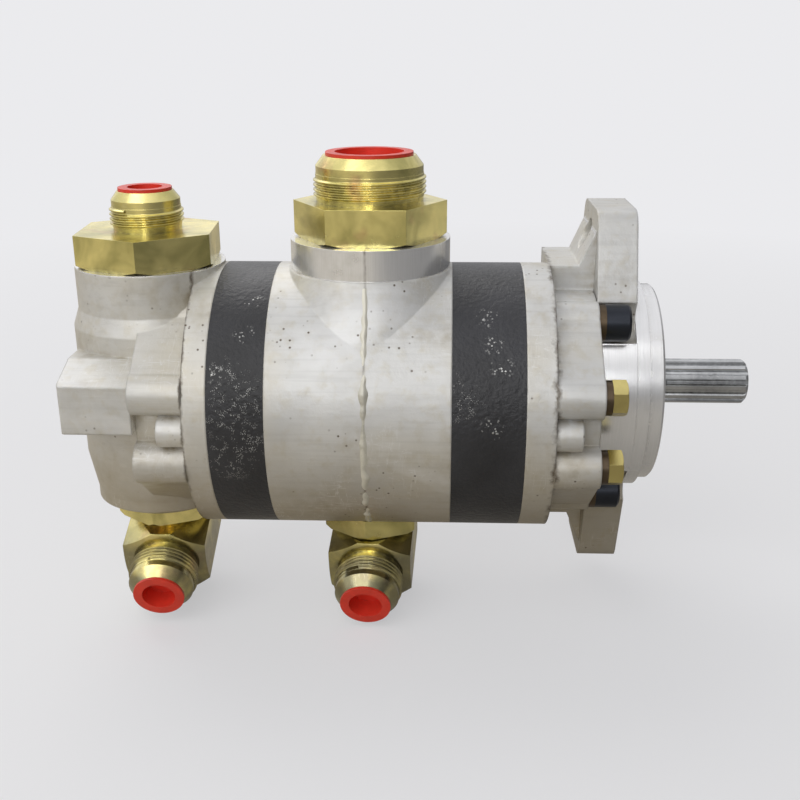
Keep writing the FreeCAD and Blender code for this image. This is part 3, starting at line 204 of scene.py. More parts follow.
class GearPumpStage(bpy.types.PropertyGroup):
    """Floor, lamps and camera"""

    floor: colour("Floor", "Floor near the pump, as it is seen", (0.90, 0.90, 0.91))
    floor_bounce: colour("Floor bounce", "Left of the floor as it lights the pump",
                         (0.60, 0.535, 0.41))
    floor_shade: colour("Floor shade", "Right of the floor as it lights the pump",
                        (0.10, 0.092, 0.08))
    backdrop: colour("Backdrop", "Pale room as it is seen", (0.83, 0.83, 0.85))
    room_light: bpy.props.FloatProperty(
        name="Room light", description="Strength of the room's own light", default=0.34)
    lens: bpy.props.FloatProperty(
        name="Lens", description="Focal length in millimetres", default=46.98)
    camera_place: bpy.props.FloatVectorProperty(
        name="Camera", description="Where the camera stands", subtype="TRANSLATION", size=3,
        default=(-0.0874, -0.4946, 0.1646))
    camera_target: bpy.props.FloatVectorProperty(
        name="Target", description="What the camera looks at", subtype="TRANSLATION", size=3,
        default=(-0.1073, -0.0240, -0.0031))
    camera_roll: bpy.props.FloatProperty(
        name="Roll", description="Turn of the camera about its line of sight", subtype="ANGLE",
        default=math.radians(-0.24))


# ---- shader helpers ------------------------------------------------------------------

class Shader:
    """A material's node tree with short calls for what the finishes share."""

    def __init__(self, name):
        self.material = bpy.data.materials.new(name)
        self.material.use_nodes = True
        self.tree = self.material.node_tree
        self.principled = self.tree.nodes["Principled BSDF"]
        self.place = self.node("ShaderNodeTexCoord").outputs["Object"]

    def node(self, kind, inputs=None, **settings):
        made = self.tree.nodes.new(kind)
        for name, value in settings.items():
            setattr(made, name, value)
        for name, value in (inputs or {}).items():
            self.feed(value, made.inputs[name])
        return made

    def feed(self, value, socket):
        if isinstance(value, bpy.types.NodeSocket):
            self.tree.links.new(value, socket)
        elif hasattr(value, "__len__") and len(value) == 3 and socket.type == "RGBA":
            socket.default_value = (*value, 1)
        else:
            socket.default_value = value

    def noise(self, scale, detail=3, roughness=0.55, vector=None, distortion=0.0):
        return self.node("ShaderNodeTexNoise", {
            "Vector": vector or self.place, "Scale": scale, "Detail": detail,
            "Roughness": roughness, "Distortion": distortion}).outputs["Fac"]

    def stretch(self, scale):
        """Object coordinates scaled along each axis."""
        return self.node("ShaderNodeMapping", {
            "Vector": self.place, "Scale": scale}).outputs["Vector"]

    def distance(self, point):
        return self.node("ShaderNodeVectorMath", {0: self.place, 1: tuple(point)},
                         operation="DISTANCE").outputs["Value"]

    def ramp(self, value, low, high):
        """0 below low, 1 above high, straight between."""
        return self.node("ShaderNodeMapRange", {
            "Value": value, "From Min": low, "From Max": high}).outputs["Result"]

    def math(self, operation, *values):
        made = self.node("ShaderNodeMath", operation=operation)
        for socket, value in zip(made.inputs, values):
            self.feed(value, socket)
        return made.outputs["Value"]

    def near(self, points, reach):
        """1 at any of the points, falling to 0 at a reach from it."""
        shares = [self.ramp(self.distance(point), reach, reach * 0.35) for point in points]
        total = shares[0]
        for share in shares[1:]:
            total = self.math("MAXIMUM", total, share)
        return total

    def blend(self, share, first, second):
        """Number that runs from first to second."""
        return self.node("ShaderNodeMapRange", {
            "Value": share, "To Min": first, "To Max": second}).outputs["Result"]

    def where(self):
        """Object coordinates apart."""
        return self.node("ShaderNodeSeparateXYZ", {"Vector": self.place}).outputs

    def off_axis(self, y):
        """Distance from an axis that runs along the shaft at this Y."""
        parts = self.where()
        across = self.math("SUBTRACT", parts["Y"], y)
        return self.math("SQRT", self.math("ADD", self.math("MULTIPLY", across, across),
                                           self.math("MULTIPLY", parts["Z"], parts["Z"])))

    def squareness(self):
        """1 on faces square to the shaft, 0 on faces along it."""
        normal = self.node("ShaderNodeNewGeometry").outputs["Normal"]
        along = self.node("ShaderNodeSeparateXYZ", {"Vector": normal}).outputs["X"]
        return self.math("ABSOLUTE", along)

    def edge(self, radius, samples=4):
        """Normal that rounds the edges."""
        return self.node("ShaderNodeBevel", {"Radius": radius}, samples=samples).outputs["Normal"]

    def within(self, value, middle, reach):
        """1 where a value lies within a reach of its middle."""
        return self.node("ShaderNodeMath", {0: value, 1: middle, 2: reach},
                         operation="COMPARE").outputs["Value"]

    def mix(self, share, first, second):
        made = self.node("ShaderNodeMix", data_type="RGBA")
        self.feed(share, made.inputs["Factor"])
        self.feed(first, made.inputs["A"])
        self.feed(second, made.inputs["B"])
        return made.outputs["Result"]

    def bump(self, height, distance, strength=1.0, normal=None):
        inputs = {"Height": height, "Distance": distance, "Strength": strength}
        if normal is not None:
            inputs["Normal"] = normal
        return self.node("ShaderNodeBump", inputs).outputs["Normal"]

    def group(self, tree, inputs):
        made = self.node("ShaderNodeGroup", node_tree=tree)
        for name, value in inputs.items():
            self.feed(value, made.inputs[name])
        return made.outputs

    def set(self, **values):
        for name, value in values.items():
            self.feed(value, self.principled.inputs[name.replace("_", " ")])
        return self.material


class Mask(Shader):
    """A node group that puts out one mask, built like a material."""

    def __init__(self, name, **inputs):
        self.tree = bpy.data.node_groups.new(name, "ShaderNodeTree")
        for socket, default in inputs.items():
            self.socket(socket, "INPUT").default_value = default
        self.socket("Mask", "OUTPUT")
        self.inside = self.tree.nodes.new("NodeGroupInput").outputs
        self.out = self.tree.nodes.new("NodeGroupOutput").inputs
        self.place = self.node("ShaderNodeTexCoord").outputs["Object"]

    def socket(self, name, side):
        return self.tree.interface.new_socket(name, in_out=side, socket_type="NodeSocketFloat")

    def done(self, value):
        """Put out a value, scaled by the group's amount."""
        self.feed(self.math("MULTIPLY", value, self.inside["Amount"]), self.out["Mask"])
        return self.tree


def grime_and_corner_shade_group():
    """Painted shade in corners and recesses, from ambient occlusion, and stain in soft blotches."""
    made = Mask("grime_and_corner_shade", Amount=0.5, Scale=40.0)
    corner = made.node("ShaderNodeAmbientOcclusion", {"Distance": 6 * MM}, samples=6)
    # Painted shade: colour darkened where ambient occlusion finds corners and recesses.
    shaded_corner = made.ramp(corner.outputs["AO"], 0.85, 0.35)
    blotch = made.ramp(made.noise(made.inside["Scale"], 4), 0.52, 0.75)
    broken = made.ramp(made.noise(made.math("MULTIPLY", made.inside["Scale"], 6.0), 3), 0.35, 0.7)
    both = made.math("MAXIMUM", shaded_corner, made.math("MULTIPLY", blotch, 0.6))
    return made.done(made.math("MULTIPLY", both, broken))


def scratch_group():
    """Thin scratches in two directions."""
    made = Mask("scratches", Scale=30.0, Amount=0.5)
    lines = []
    for turn, stretch in ((0.5, (1.0, 9.0, 9.0)), (-0.7, (9.0, 1.0, 1.4))):
        aimed = made.node("ShaderNodeMapping", {
            "Vector": made.place, "Rotation": (turn, turn / 2, turn), "Scale": stretch})
        field = made.noise(made.inside["Scale"], 2, vector=aimed.outputs["Vector"])
        ridge = made.math("ABSOLUTE", made.math("SUBTRACT", field, 0.5))
        lines.append(made.ramp(ridge, 0.012, 0.0))
    gate = made.ramp(made.noise(22.0, 2), 0.5, 0.65)
    return made.done(made.math("MULTIPLY", made.math("MAXIMUM", *lines), gate))


# ---- finishes ------------------------------------------------------------------------

def seats(shader, station):
    """Flat faces square to the shaft at one station."""
    square = shader.math("GREATER_THAN", shader.squareness(), 0.9)
    return shader.math("MULTIPLY", square, shader.within(shader.where()["X"], station, FACE_REACH))


def port_band(shader):
    """Machined band and face of the front port."""
    return shader.math("GREATER_THAN", shader.where()["Z"], BODY_RADIUS)


def flange_faces(shader):
    """Turned disc, pilot, nose and bolt faces of the front cover."""
    station = shader.where()["X"]
    face = shader.math("GREATER_THAN", station, -0.2 * MM)
    radius = shader.off_axis(SHAFT_Y)
    rim = shader.math("MULTIPLY", shader.within(radius, DISC_RADIUS, 0.3 * MM),
                      shader.math("GREATER_THAN", station, BOSS_X))
    return shader.math("MAXIMUM", shader.math("MAXIMUM", face, rim), seats(shader, BOSS_X))


def rear_faces(shader):
    """Port face and bolt faces of the rear cover."""
    port = shader.within(shader.where()["Z"], span("rear_cover")[1].z, FACE_REACH)
    return shader.math("MAXIMUM", port, seats(shader, REAR_BOSS_X))


def cast_tone(shader, finish, shared):
    """Colour of the cast skin, the dirt on it, and painted shade on its lower half."""
    mottle = shader.noise(30.0, 4)
    tone = shader.mix(shader.ramp(mottle, 0.3, 0.7), [part * 0.86 for part in finish.cast],
                      [part * 1.05 for part in finish.cast])
    freckle = shader.ramp(shader.noise(190.0, 4), 0.50, 0.75)
    tone = shader.mix(shader.math("MULTIPLY", freckle, 0.45), tone,
                      [part * 0.80 for part in finish.cast_warm])
    drawn = shader.noise(420.0, 2, vector=shader.stretch((0.05, 1.0, 1.0)))
    tone = shader.mix(shader.math("MULTIPLY", shader.ramp(drawn, 0.50, 0.75), 0.42), tone,
                      [part * 0.72 for part in finish.cast])
    yellow = shader.math("MULTIPLY", shader.ramp(shader.noise(11.0, 3), 0.45, 0.72), 0.75)
    tone = shader.mix(yellow, tone, finish.cast_warm)
    # Painted shade: the castings are painted darker and browner towards the bottom, in the stain
    # colour, where the light from above falls off.
    height = shader.where()["Z"]
    low = shader.math("MULTIPLY", shader.ramp(height, 8 * MM, -46 * MM),
                      shader.blend(shader.noise(17.0, 4), 0.55, 1.0))
    tone = shader.mix(shader.math("MULTIPLY", low, 0.90), tone, finish.stain_and_shade)
    rub = shader.noise(26.0, 4, vector=shader.stretch((0.45, 1.0, 1.0)), distortion=0.5)
    tone = shader.mix(shader.math("MULTIPLY", shader.ramp(rub, 0.60, 0.70), 0.45), tone,
                      finish.scuff)
    pits = shader.node("ShaderNodeTexVoronoi", {"Vector": shader.place, "Scale": 260.0}).outputs
    dark = shader.math("MULTIPLY", shader.ramp(pits["Distance"], 0.17, 0.07),
                       shader.ramp(shader.noise(40.0, 3), 0.52, 0.62))
    tone = shader.mix(dark, tone, finish.soot_and_shade)
    marks = shader.group(shared["scratches"], {"Scale": 34.0, "Amount": 0.5})["Mask"]
    tone = shader.mix(marks, tone, finish.scuff)
    return tone, dark


def dirt_line(shader, station, wander, width):
    """Mask of a soft, wandering line round the body at one station."""
    drift = shader.math("MULTIPLY", shader.math("SUBTRACT", shader.noise(260.0, 5), 0.5), wander)
    offset = shader.math("SUBTRACT", shader.math("ADD", shader.where()["X"], drift), station)
    core = shader.ramp(shader.math("ABSOLUTE", offset), width, 0.0)
    # Dirt gathers in the corner, and thins out on a face that stands square to the shaft.
    beside = shader.ramp(shader.squareness(), 0.98, 0.80)
    core = shader.math("MULTIPLY", core, shader.blend(beside, 0.25, 1.0))
    return shader.math("MULTIPLY", core, shader.ramp(shader.noise(120.0, 3), 0.30, 0.60))


def cast_finish(name, finish, detail, shared, machined, line):
    """As-cast aluminium with machined faces, and dirt along a line: station, wander, width."""
    shader = Shader(name)
    tone, dark = cast_tone(shader, finish, shared)
    # Grime mask: painted shade in corners and recesses, with blotchy stain; both take the stain
    # colour, on the cast skin and on the turned faces.
    grime_and_corner_shade = shader.group(shared["grime_and_corner_shade"], {"Amount": 0.8, "Scale": 34.0})["Mask"]
    tone = shader.mix(grime_and_corner_shade, tone, finish.stain_and_shade)
    seam = shader.math("MULTIPLY", dirt_line(shader, *line), 0.9)
    cut = machined(shader)
    fine = shader.noise(1.0, 2, vector=shader.stretch((3000.0, 60.0, 60.0)))
    bright = shader.mix(shader.ramp(fine, 0.3, 0.7), [part * 0.90 for part in finish.turned],
                        finish.turned)
    bright = shader.mix(shader.math("MULTIPLY", grime_and_corner_shade, 0.6), bright, finish.stain_and_shade)
    tone = shader.mix(seam, shader.mix(cut, tone, bright), finish.soot_and_shade)
    edge = shader.edge(shader.blend(cut, detail.edge, detail.machined_edge), samples=6)
    skin = shader.math("SUBTRACT", shader.noise(1300.0, 2), shader.math("MULTIPLY", dark, 2.0))
    relief = shader.node("ShaderNodeMix", {"Factor": cut, "A": skin, "B": fine}).outputs["Result"]
    grain = shader.bump(relief, 0.07 * MM, shader.blend(cut, 0.55, 0.25), edge)
    waves = shader.bump(shader.noise(95.0, 4), 0.7 * MM, shader.blend(cut, 0.5, 0.0), grain)
    rough = shader.math("ADD", shader.blend(cut, 0.44, 0.22), shader.math("MULTIPLY", grime_and_corner_shade, 0.2))
    return shader.set(Base_Color=tone, Metallic=shader.blend(cut, 0.30, 0.72), Roughness=rough,
                      Normal=waves)


def on_rings(drifts):
    """Points on the gear housings, from their stations in millimetres and their angles."""
    return [on_body(span(node)[0].x + station * MM, degrees)
            for node, spots in drifts.items() for station, degrees in spots]


def paint_finish(finish, detail, shared):
    """Black paint over a rough casting, with drifts of small bright chips."""
    shader = Shader("chipped_black_paint")
    fine = shader.node("ShaderNodeTexVoronoi", {"Vector": shader.place, "Scale": 1800.0}).outputs
    coarse = shader.node("ShaderNodeTexVoronoi", {"Vector": shader.place, "Scale": 800.0}).outputs
    gate = shader.ramp(shader.noise(330.0, 3), 0.51, 0.57)
    small = shader.math("MULTIPLY", shader.ramp(fine["Distance"], 0.42, 0.26), gate)
    large = shader.math("MULTIPLY", shader.ramp(coarse["Distance"], 0.44, 0.30), gate)
    chips = shader.math("MAXIMUM",
                        shader.math("MULTIPLY", small, shader.near(on_rings(DENSE_CHIPS), 13 * MM)),
                        shader.math("MULTIPLY", large, shader.near(on_rings(SPARSE_CHIPS), 6 * MM)))
    dust = shader.ramp(shader.noise(16.0, 3), 0.35, 0.75)
    base = shader.mix(dust, finish.paint, finish.paint_dust)
    tone = shader.mix(chips, base, finish.chips)
    edge = shader.edge(detail.machined_edge)
    grit = shader.bump(shader.noise(480.0, 4), 0.55 * MM, 0.85, edge)
    normal = shader.bump(chips, 0.15 * MM, 0.8, grit)
    rough = shader.blend(shader.noise(60.0, 2), 0.30, 0.50)
    return shader.set(Base_Color=tone, Metallic=shader.math("MULTIPLY", chips, 0.8),
                      Roughness=rough, Normal=normal, Specular_IOR_Level=0.36)


def zinc_finish(finish, detail, shared):
    """Yellow chromate over zinc: gold that drifts to olive and rose."""
    shader = Shader("yellow_zinc")
    drift = shader.noise(46.0, 3, distortion=0.6)
    gold = shader.mix(shader.ramp(drift, 0.36, 0.66), finish.zinc_dark, finish.zinc)
    rose = shader.mix(shader.math("MULTIPLY", shader.ramp(shader.noise(60.0, 2), 0.60, 0.75), 0.6),
                      gold, finish.zinc_rose)
    # Oil runs down the pump, so the lower fittings are painted darker: partly tarnish, partly
    # painted shade for the shade and dark reflections they take.
    low = shader.ramp(shader.where()["Z"], *TARNISH_AND_SHADE_SPAN)
    dull_and_shaded = shader.math("MULTIPLY", low, shader.ramp(shader.noise(55.0, 3), 0.28, 0.52))
    rose = shader.mix(shader.math("MULTIPLY", dull_and_shaded, 0.8), rose, finish.tarnish_and_shade)
    # Grime mask: painted shade in corners and recesses, with blotchy stain, in the soot colour.
    grime_and_corner_shade = shader.group(shared["grime_and_corner_shade"], {"Amount": 0.7, "Scale": 60.0})["Mask"]
    marks = shader.group(shared["scratches"], {"Scale": 60.0, "Amount": 0.4})["Mask"]
    tone = shader.mix(marks, shader.mix(grime_and_corner_shade, rose, finish.soot_and_shade), finish.zinc_worn)
    edge = shader.edge(detail.machined_edge)
    normal = shader.bump(shader.noise(900.0, 2), 0.02 * MM, 0.5, edge)
    rough = shader.math("ADD", 0.15, shader.math("MULTIPLY", shader.noise(130.0, 3), 0.18))
    return shader.set(Base_Color=tone, Metallic=0.97, Roughness=rough, Normal=normal)


def metal_finish(detail, shared, name, tone, metallic, rough, grain):
    """A plain metal with its own grain and light wear."""
    shader = Shader(name)
    shade = shader.mix(shader.ramp(shader.noise(grain / 12, 3), 0.35, 0.7),
                       [part * 0.75 for part in tone], tone)
    marks = shader.group(shared["scratches"], {"Scale": 70.0, "Amount": 0.35})["Mask"]
    shade = shader.mix(marks, shade, [min(1.0, part * 1.6) for part in tone])
    # Grime mask: painted shade in corners, recesses and grooves, such as the shaft's spline, with
    # blotchy stain; it darkens the metal to nearly black.
    grime_and_corner_shade = shader.group(shared["grime_and_corner_shade"], {"Amount": 0.8, "Scale": 70.0})["Mask"]
    shade = shader.mix(grime_and_corner_shade, shade, [part * 0.12 for part in tone])
    edge = shader.edge(detail.machined_edge)
    normal = shader.bump(shader.noise(grain, 2), 0.03 * MM, 0.5, edge)
    roughness = shader.math("ADD", rough, shader.math("MULTIPLY", shader.noise(grain / 6, 2), 0.12))
    return shader.set(Base_Color=shade, Metallic=metallic, Roughness=roughness, Normal=normal)


def plastic_finish(finish, detail):
    """Moulded red polyethylene, slightly waxy."""
    shader = Shader("red_polyethylene")
    tone = shader.mix(shader.ramp(shader.noise(120.0, 3), 0.35, 0.7),
                      [part * 0.82 for part in finish.plastic], finish.plastic)
    edge = shader.edge(detail.machined_edge)
    normal = shader.bump(shader.noise(300.0, 2), 0.05 * MM, 0.4, edge)
    rough = shader.math("ADD", 0.32, shader.math("MULTIPLY", shader.noise(90.0, 2), 0.15))
    return shader.set(Base_Color=tone, Roughness=rough, Normal=normal, Subsurface_Weight=0.08,
                      Subsurface_Scale=1.5 * MM)


def rubber_finish(finish, detail):
    """Dull black rubber."""
    shader = Shader("seal_rubber")
    tone = shader.mix(shader.noise(200.0, 2), finish.rubber, [part * 2 for part in finish.rubber])
    edge = shader.edge(detail.machined_edge)
    normal = shader.bump(shader.noise(900.0, 2), 0.05 * MM, 0.5, edge)
    return shader.set(Base_Color=tone, Roughness=0.6, Normal=normal)


def all_finishes(finish, detail):
    """Every finish by the record's material slot."""
    shared = {"grime_and_corner_shade": grime_and_corner_shade_group(), "scratches": scratch_group()}
    metal = partial(metal_finish, detail, shared)
    return {
        "front_cover": cast_finish("cast_front_cover", finish, detail, shared, flange_faces,
                                   (RIM_X, 6 * MM, 1.9 * MM)),
        "centre_housing": cast_finish("cast_centre_housing", finish, detail, shared, port_band,
                                      (PORT_X, 1.0 * MM, 0.8 * MM)),
        "rear_cover": cast_finish("cast_rear_cover", finish, detail, shared, rear_faces,
                                  (REAR_RIM_X, 3 * MM, 1.0 * MM)),
        "rubbed_flash": metal("rubbed_flash", finish.flash, 0.3, 0.36, 420.0),
        "black_iron": paint_finish(finish, detail, shared),
        "yellow_zinc_steel": zinc_finish(finish, detail, shared),
        "pale_zinc_steel": metal("pale_zinc", finish.pale_zinc, 1.0, 0.18, 700.0),
        "black_oxide_steel": metal("black_oxide", finish.oxide, 0.7, 0.30, 900.0),
        "washer_steel": metal("oiled_steel", [part * 1.15 for part in finish.soot_and_shade],
                              0.8, 0.34, 900.0),
        "shaft_steel": metal("ground_steel", finish.steel, 1.0, 0.13, 600.0),
        "clip_steel": metal("spring_steel", [part * 0.7 for part in finish.steel],
                            0.95, 0.35, 600.0),
        "bush_bronze": metal("bearing_bronze", finish.bronze, 0.95, 0.3, 600.0),
        "seal_rubber": rubber_finish(finish, detail),
        "red_plastic": plastic_finish(finish, detail),
    }


FINISHES = {}


def finishes(context):
    """The finishes, made once from the current settings."""
    if not FINISHES:
        scene = context.scene
        FINISHES.update(all_finishes(scene.gear_pump_finish, scene.gear_pump_detail))
    return FINISHES


# ---- shaping helpers -----------------------------------------------------------------

def bodies_of():
    """Which body each CAD node rides on."""
    return {node: body for body, nodes in frame["record"]["behaviour"]["bodies"].items()
            for node in nodes}


def slots_of():
    """Which material slot each CAD node has."""
    return {entry["node"]: entry["material_slot"] for entry in frame["record"]["subparts"]}


def coat(node, material):
    """Give a CAD node's own mesh a finish."""
    mesh = frame["nodes"][node].data
    mesh.materials.clear()
    mesh.materials.append(material)


def merged(node):
    """A bmesh copy of a CAD node with its loose triangles joined into flat faces."""
    made = bmesh.new()
    made.from_mesh(frame["nodes"][node].data)
    bmesh.ops.remove_doubles(made, verts=made.verts, dist=0.2 * SAME_PLACE)
    bmesh.ops.dissolve_limit(
        made, angle_limit=math.radians(0.6), verts=made.verts, edges=made.edges)
    return made


def settle(made, name, materials, sharp=32):
    """Turn a bmesh into a smooth-shaded object with crisp edges."""
    mesh = bpy.data.meshes.new(name)
    for face in made.faces:
        face.smooth = True
    made.to_mesh(mesh)
    made.free()
    for attribute in ("custom_normal", "sharp_face"):
        if attribute in mesh.attributes:
            mesh.attributes.remove(mesh.attributes[attribute])
    mesh.set_sharp_from_angle(angle=math.radians(sharp))
    for material in materials:
        mesh.materials.append(material)
    piece = bpy.data.objects.new(name, mesh)
    bpy.context.scene.collection.objects.link(piece)
    return piece


def dress(node, made, materials, sharp=32):
    """Finish a reshaped copy of a node as the piece that stands for it."""
    piece = settle(made, f"{node}_finish", materials, sharp)
    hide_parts(node)
    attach(piece, bodies_of()[node])
    return piece


def helix_ridge(made, centre, axis, radius, depth, pitch, reach):
    """A V-shaped thread ridge about an axis, up to a reach from its middle."""
    rise = 2 * reach - pitch
    turns = rise / pitch
    steps = int(turns * RIDGE_STEPS)
    root = radius - depth - RIDGE_SINK
    foot, crest = RIDGE_FOOT * pitch, RIDGE_CREST * pitch
    corners = [(root, -foot), (radius, -crest), (radius, crest), (root, foot)]
    plain = set(made.verts)
    loop = [made.verts.new((out, 0, lift - rise / 2)) for out, lift in corners]
    bmesh.ops.spin(
        made, geom=[made.faces.new(loop)], cent=(0, 0, 0), axis=(0, 0, 1),
        angle=math.tau * turns, steps=steps, dvec=(0, 0, rise / steps), use_duplicate=False)
    ridge = [vert for vert in made.verts if vert not in plain]
    turn = axis.to_track_quat("Z", "Y").to_matrix().to_4x4()
    bmesh.ops.transform(made, matrix=Matrix.Translation(centre) @ turn, verts=ridge)


def turn_down(made, centre, axis, radius, root, reach):
    """Shrink the plain crest of a thread to its root radius, up to a reach from its middle."""
    for vert in made.verts:
        offset = vert.co - centre
        along = offset.dot(axis)
        out = offset - axis * along
        if abs(along) < reach + SAME_PLACE and abs(out.length - radius) < FACE_REACH:
            vert.co = centre + axis * along + out.normalized() * root


def skin_of(node):
    """The outer skin of a node, to lay things on."""
    made = merged(node)
    skin = BVHTree.FromBMesh(made)
    made.free()
    return skin


def drop(skin, x, degrees):
    """Where a line in towards the body's axis meets the skin, and its way out."""
    angle = math.radians(degrees)
    outward = Vector((0, -math.cos(angle), math.sin(angle)))
    axis = Vector((x, BODY_Y, 0))
    found = skin.ray_cast(axis + outward * RAY_START, -outward)[0]
    return found, outward


def flash_section(skin, degrees, detail):
    """Foot, crest, foot and root of the parting flash at one angle."""
    seed = Vector((0, 0, degrees * 0.11))
    x = PORT_X + noise.noise(seed * 1.7) * 1.3 * MM
    swell = noise.noise(seed * 0.8 + X * 7) + 0.42
    ripple = noise.noise(seed * 2.3 + X * 3)
    width = detail.flash_width * max(0.25, 0.50 + swell * 0.7 + ripple * 0.4)
    height = detail.flash_height * max(-0.2, swell * 0.8 + ripple * 0.4)
    points = []
    for side, lift in ((-0.5, -FOOT_SINK), (-0.1, height), (0.16, height * 0.85),
                       (0.5, -FOOT_SINK), (0.0, -ROOT_SINK)):
        found, outward = drop(skin, x + side * width, degrees)
        if found is None:
            return None
        points.append(found + outward * lift)
    return points


def loft(made, sections):
    """A closed bar through matching sections."""
    face = made.faces.new([made.verts.new(point) for point in sections[0]])
    for number, section in enumerate(sections[1:]):
        grown = bmesh.ops.extrude_face_region(made, geom=[face])["geom"]
        if number:
            bmesh.ops.delete(made, geom=[face], context="FACES_ONLY")
        face = next(part for part in grown if isinstance(part, bmesh.types.BMFace))
        for loop, place in zip(face.loops, section):
            loop.vert.co = place


def flash_runs(skin, detail):
    """Sections of the parting flash down the near and the far side."""
    step = math.degrees(detail.flash_step / BODY_RADIUS)
    for start, end in FLASH_ARCS:
        count = int((end - start) / step)
        sections = [flash_section(skin, start + step * number, detail) for number in range(count)]
        yield [section for section in sections if section]


# ---- operators -----------------------------------------------------------------------

class GEARPUMP_OT_castings(bpy.types.Operator):
    """Give the covers and the centre housing their cast and machined finishes"""

    bl_idname = "gearpump.castings"
    bl_label = "Castings"

    def execute(self, context):
        finish = finishes(context)
        for node in ("front_cover", "centre_housing", "rear_cover"):
            coat(node, finish[node])
        self.flash(finish["rubbed_flash"], context.scene.gear_pump_detail)
        return {"FINISHED"}

    def flash(self, material, detail):
        made = bmesh.new()
        for sections in flash_runs(skin_of("centre_housing"), detail):
            loft(made, sections)
        bmesh.ops.recalc_face_normals(made, faces=made.faces)
        piece = settle(made, "parting_flash", [material], sharp=60)
        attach(piece, "housing")


class GEARPUMP_OT_gear_housings(bpy.types.Operator):
    """Paint the two gear housings black"""

    bl_idname = "gearpump.gear_housings"
    bl_label = "Gear housings"

    def execute(self, context):
        for node in ("front_gear_housing", "rear_gear_housing"):
            coat(node, finishes(context)["black_iron"])
        return {"FINISHED"}


class GEARPUMP_OT_fittings(bpy.types.Operator):
    """Plate the adapters and elbows and cut their hose threads"""

    bl_idname = "gearpump.fittings"
    bl_label = "Fittings"

    threaded = {
        "front_inlet_adapter": "front_inlet_thread",
        "rear_inlet_adapter": "rear_inlet_thread",
        "front_outlet_elbow": "front_outlet_thread",
        "rear_outlet_elbow": "rear_outlet_thread",
    }

    def execute(self, context):
        zinc = finishes(context)["yellow_zinc_steel"]
        detail = context.scene.gear_pump_detail
        for node, thread in self.threaded.items():
            centre, axis, dims = mount(thread)
            radius, reach = dims["r_mm"] * MM, dims["length_mm"] * MM / 2
            made = merged(node)
            turn_down(made, centre, axis, radius, radius - detail.thread_depth, reach)
            helix_ridge(made, centre, axis, radius, detail.thread_depth, detail.thread_pitch,
                        reach)
            bmesh.ops.recalc_face_normals(made, faces=made.faces)
            dress(node, made, [zinc])
        for node in ("front_outlet_locknut", "rear_outlet_adapter"):
            coat(node, zinc)
        return {"FINISHED"}


class GEARPUMP_OT_metalwork(bpy.types.Operator):
    """Finish the shaft, gears, bushes, seals and fasteners"""

    bl_idname = "gearpump.metalwork"
    bl_label = "Shaft, gears and fasteners"

    def execute(self, context):
        finish = finishes(context)
        plain = ("shaft_steel", "bush_bronze", "seal_rubber", "clip_steel", "pale_zinc_steel",
                 "black_oxide_steel", "red_plastic")
        for node, slot in slots_of().items():
            if slot in plain:
                coat(node, finish["washer_steel" if node == "lock_washers" else slot])
        return {"FINISHED"}


def lamp(name, bearing, height, size, radiance, tint):
    """A square panel that faces the pump, from its bearing and height in degrees."""
    bearing, height = math.radians(bearing), math.radians(height)
    middle = (CAD_BOX[0] + CAD_BOX[1]) / 2
    level = Vector((math.sin(bearing), -math.cos(bearing), 0))
    away = level * math.cos(height) + Vector((0, 0, math.sin(height)))
    data = bpy.data.lights.new(name, "AREA")
    data.shape = "SQUARE"
    data.size = size
    data.energy = radiance * math.pi * size * size
    data.color = tint
    made = bpy.data.objects.new(name, data)
    made.location = middle + away * LAMP_DISTANCE
    made.rotation_euler = away.to_track_quat("Z", "Y").to_euler()
    made.visible_camera = False
    bpy.context.scene.collection.objects.link(made)


def seen(shader):
    """1 for rays that show a surface, less in a reflection, 0 for rays that only light."""
    rays = shader.node("ShaderNodeLightPath").outputs
    reflected = shader.math("MAXIMUM", rays["Is Glossy Ray"], rays["Is Transmission Ray"])
    return shader.math("MAXIMUM", rays["Is Camera Ray"],
                       shader.math("MULTIPLY", reflected, FLOOR_REFLECTED))


class World(Shader):
    """The world's node tree, with the same short calls."""

    def __init__(self, name):
        self.world = bpy.data.worlds.new(name)
        self.world.use_nodes = True
        self.tree = self.world.node_tree
        self.background = self.tree.nodes["Background"].inputs
        self.place = self.node("ShaderNodeTexCoord").outputs["Generated"]


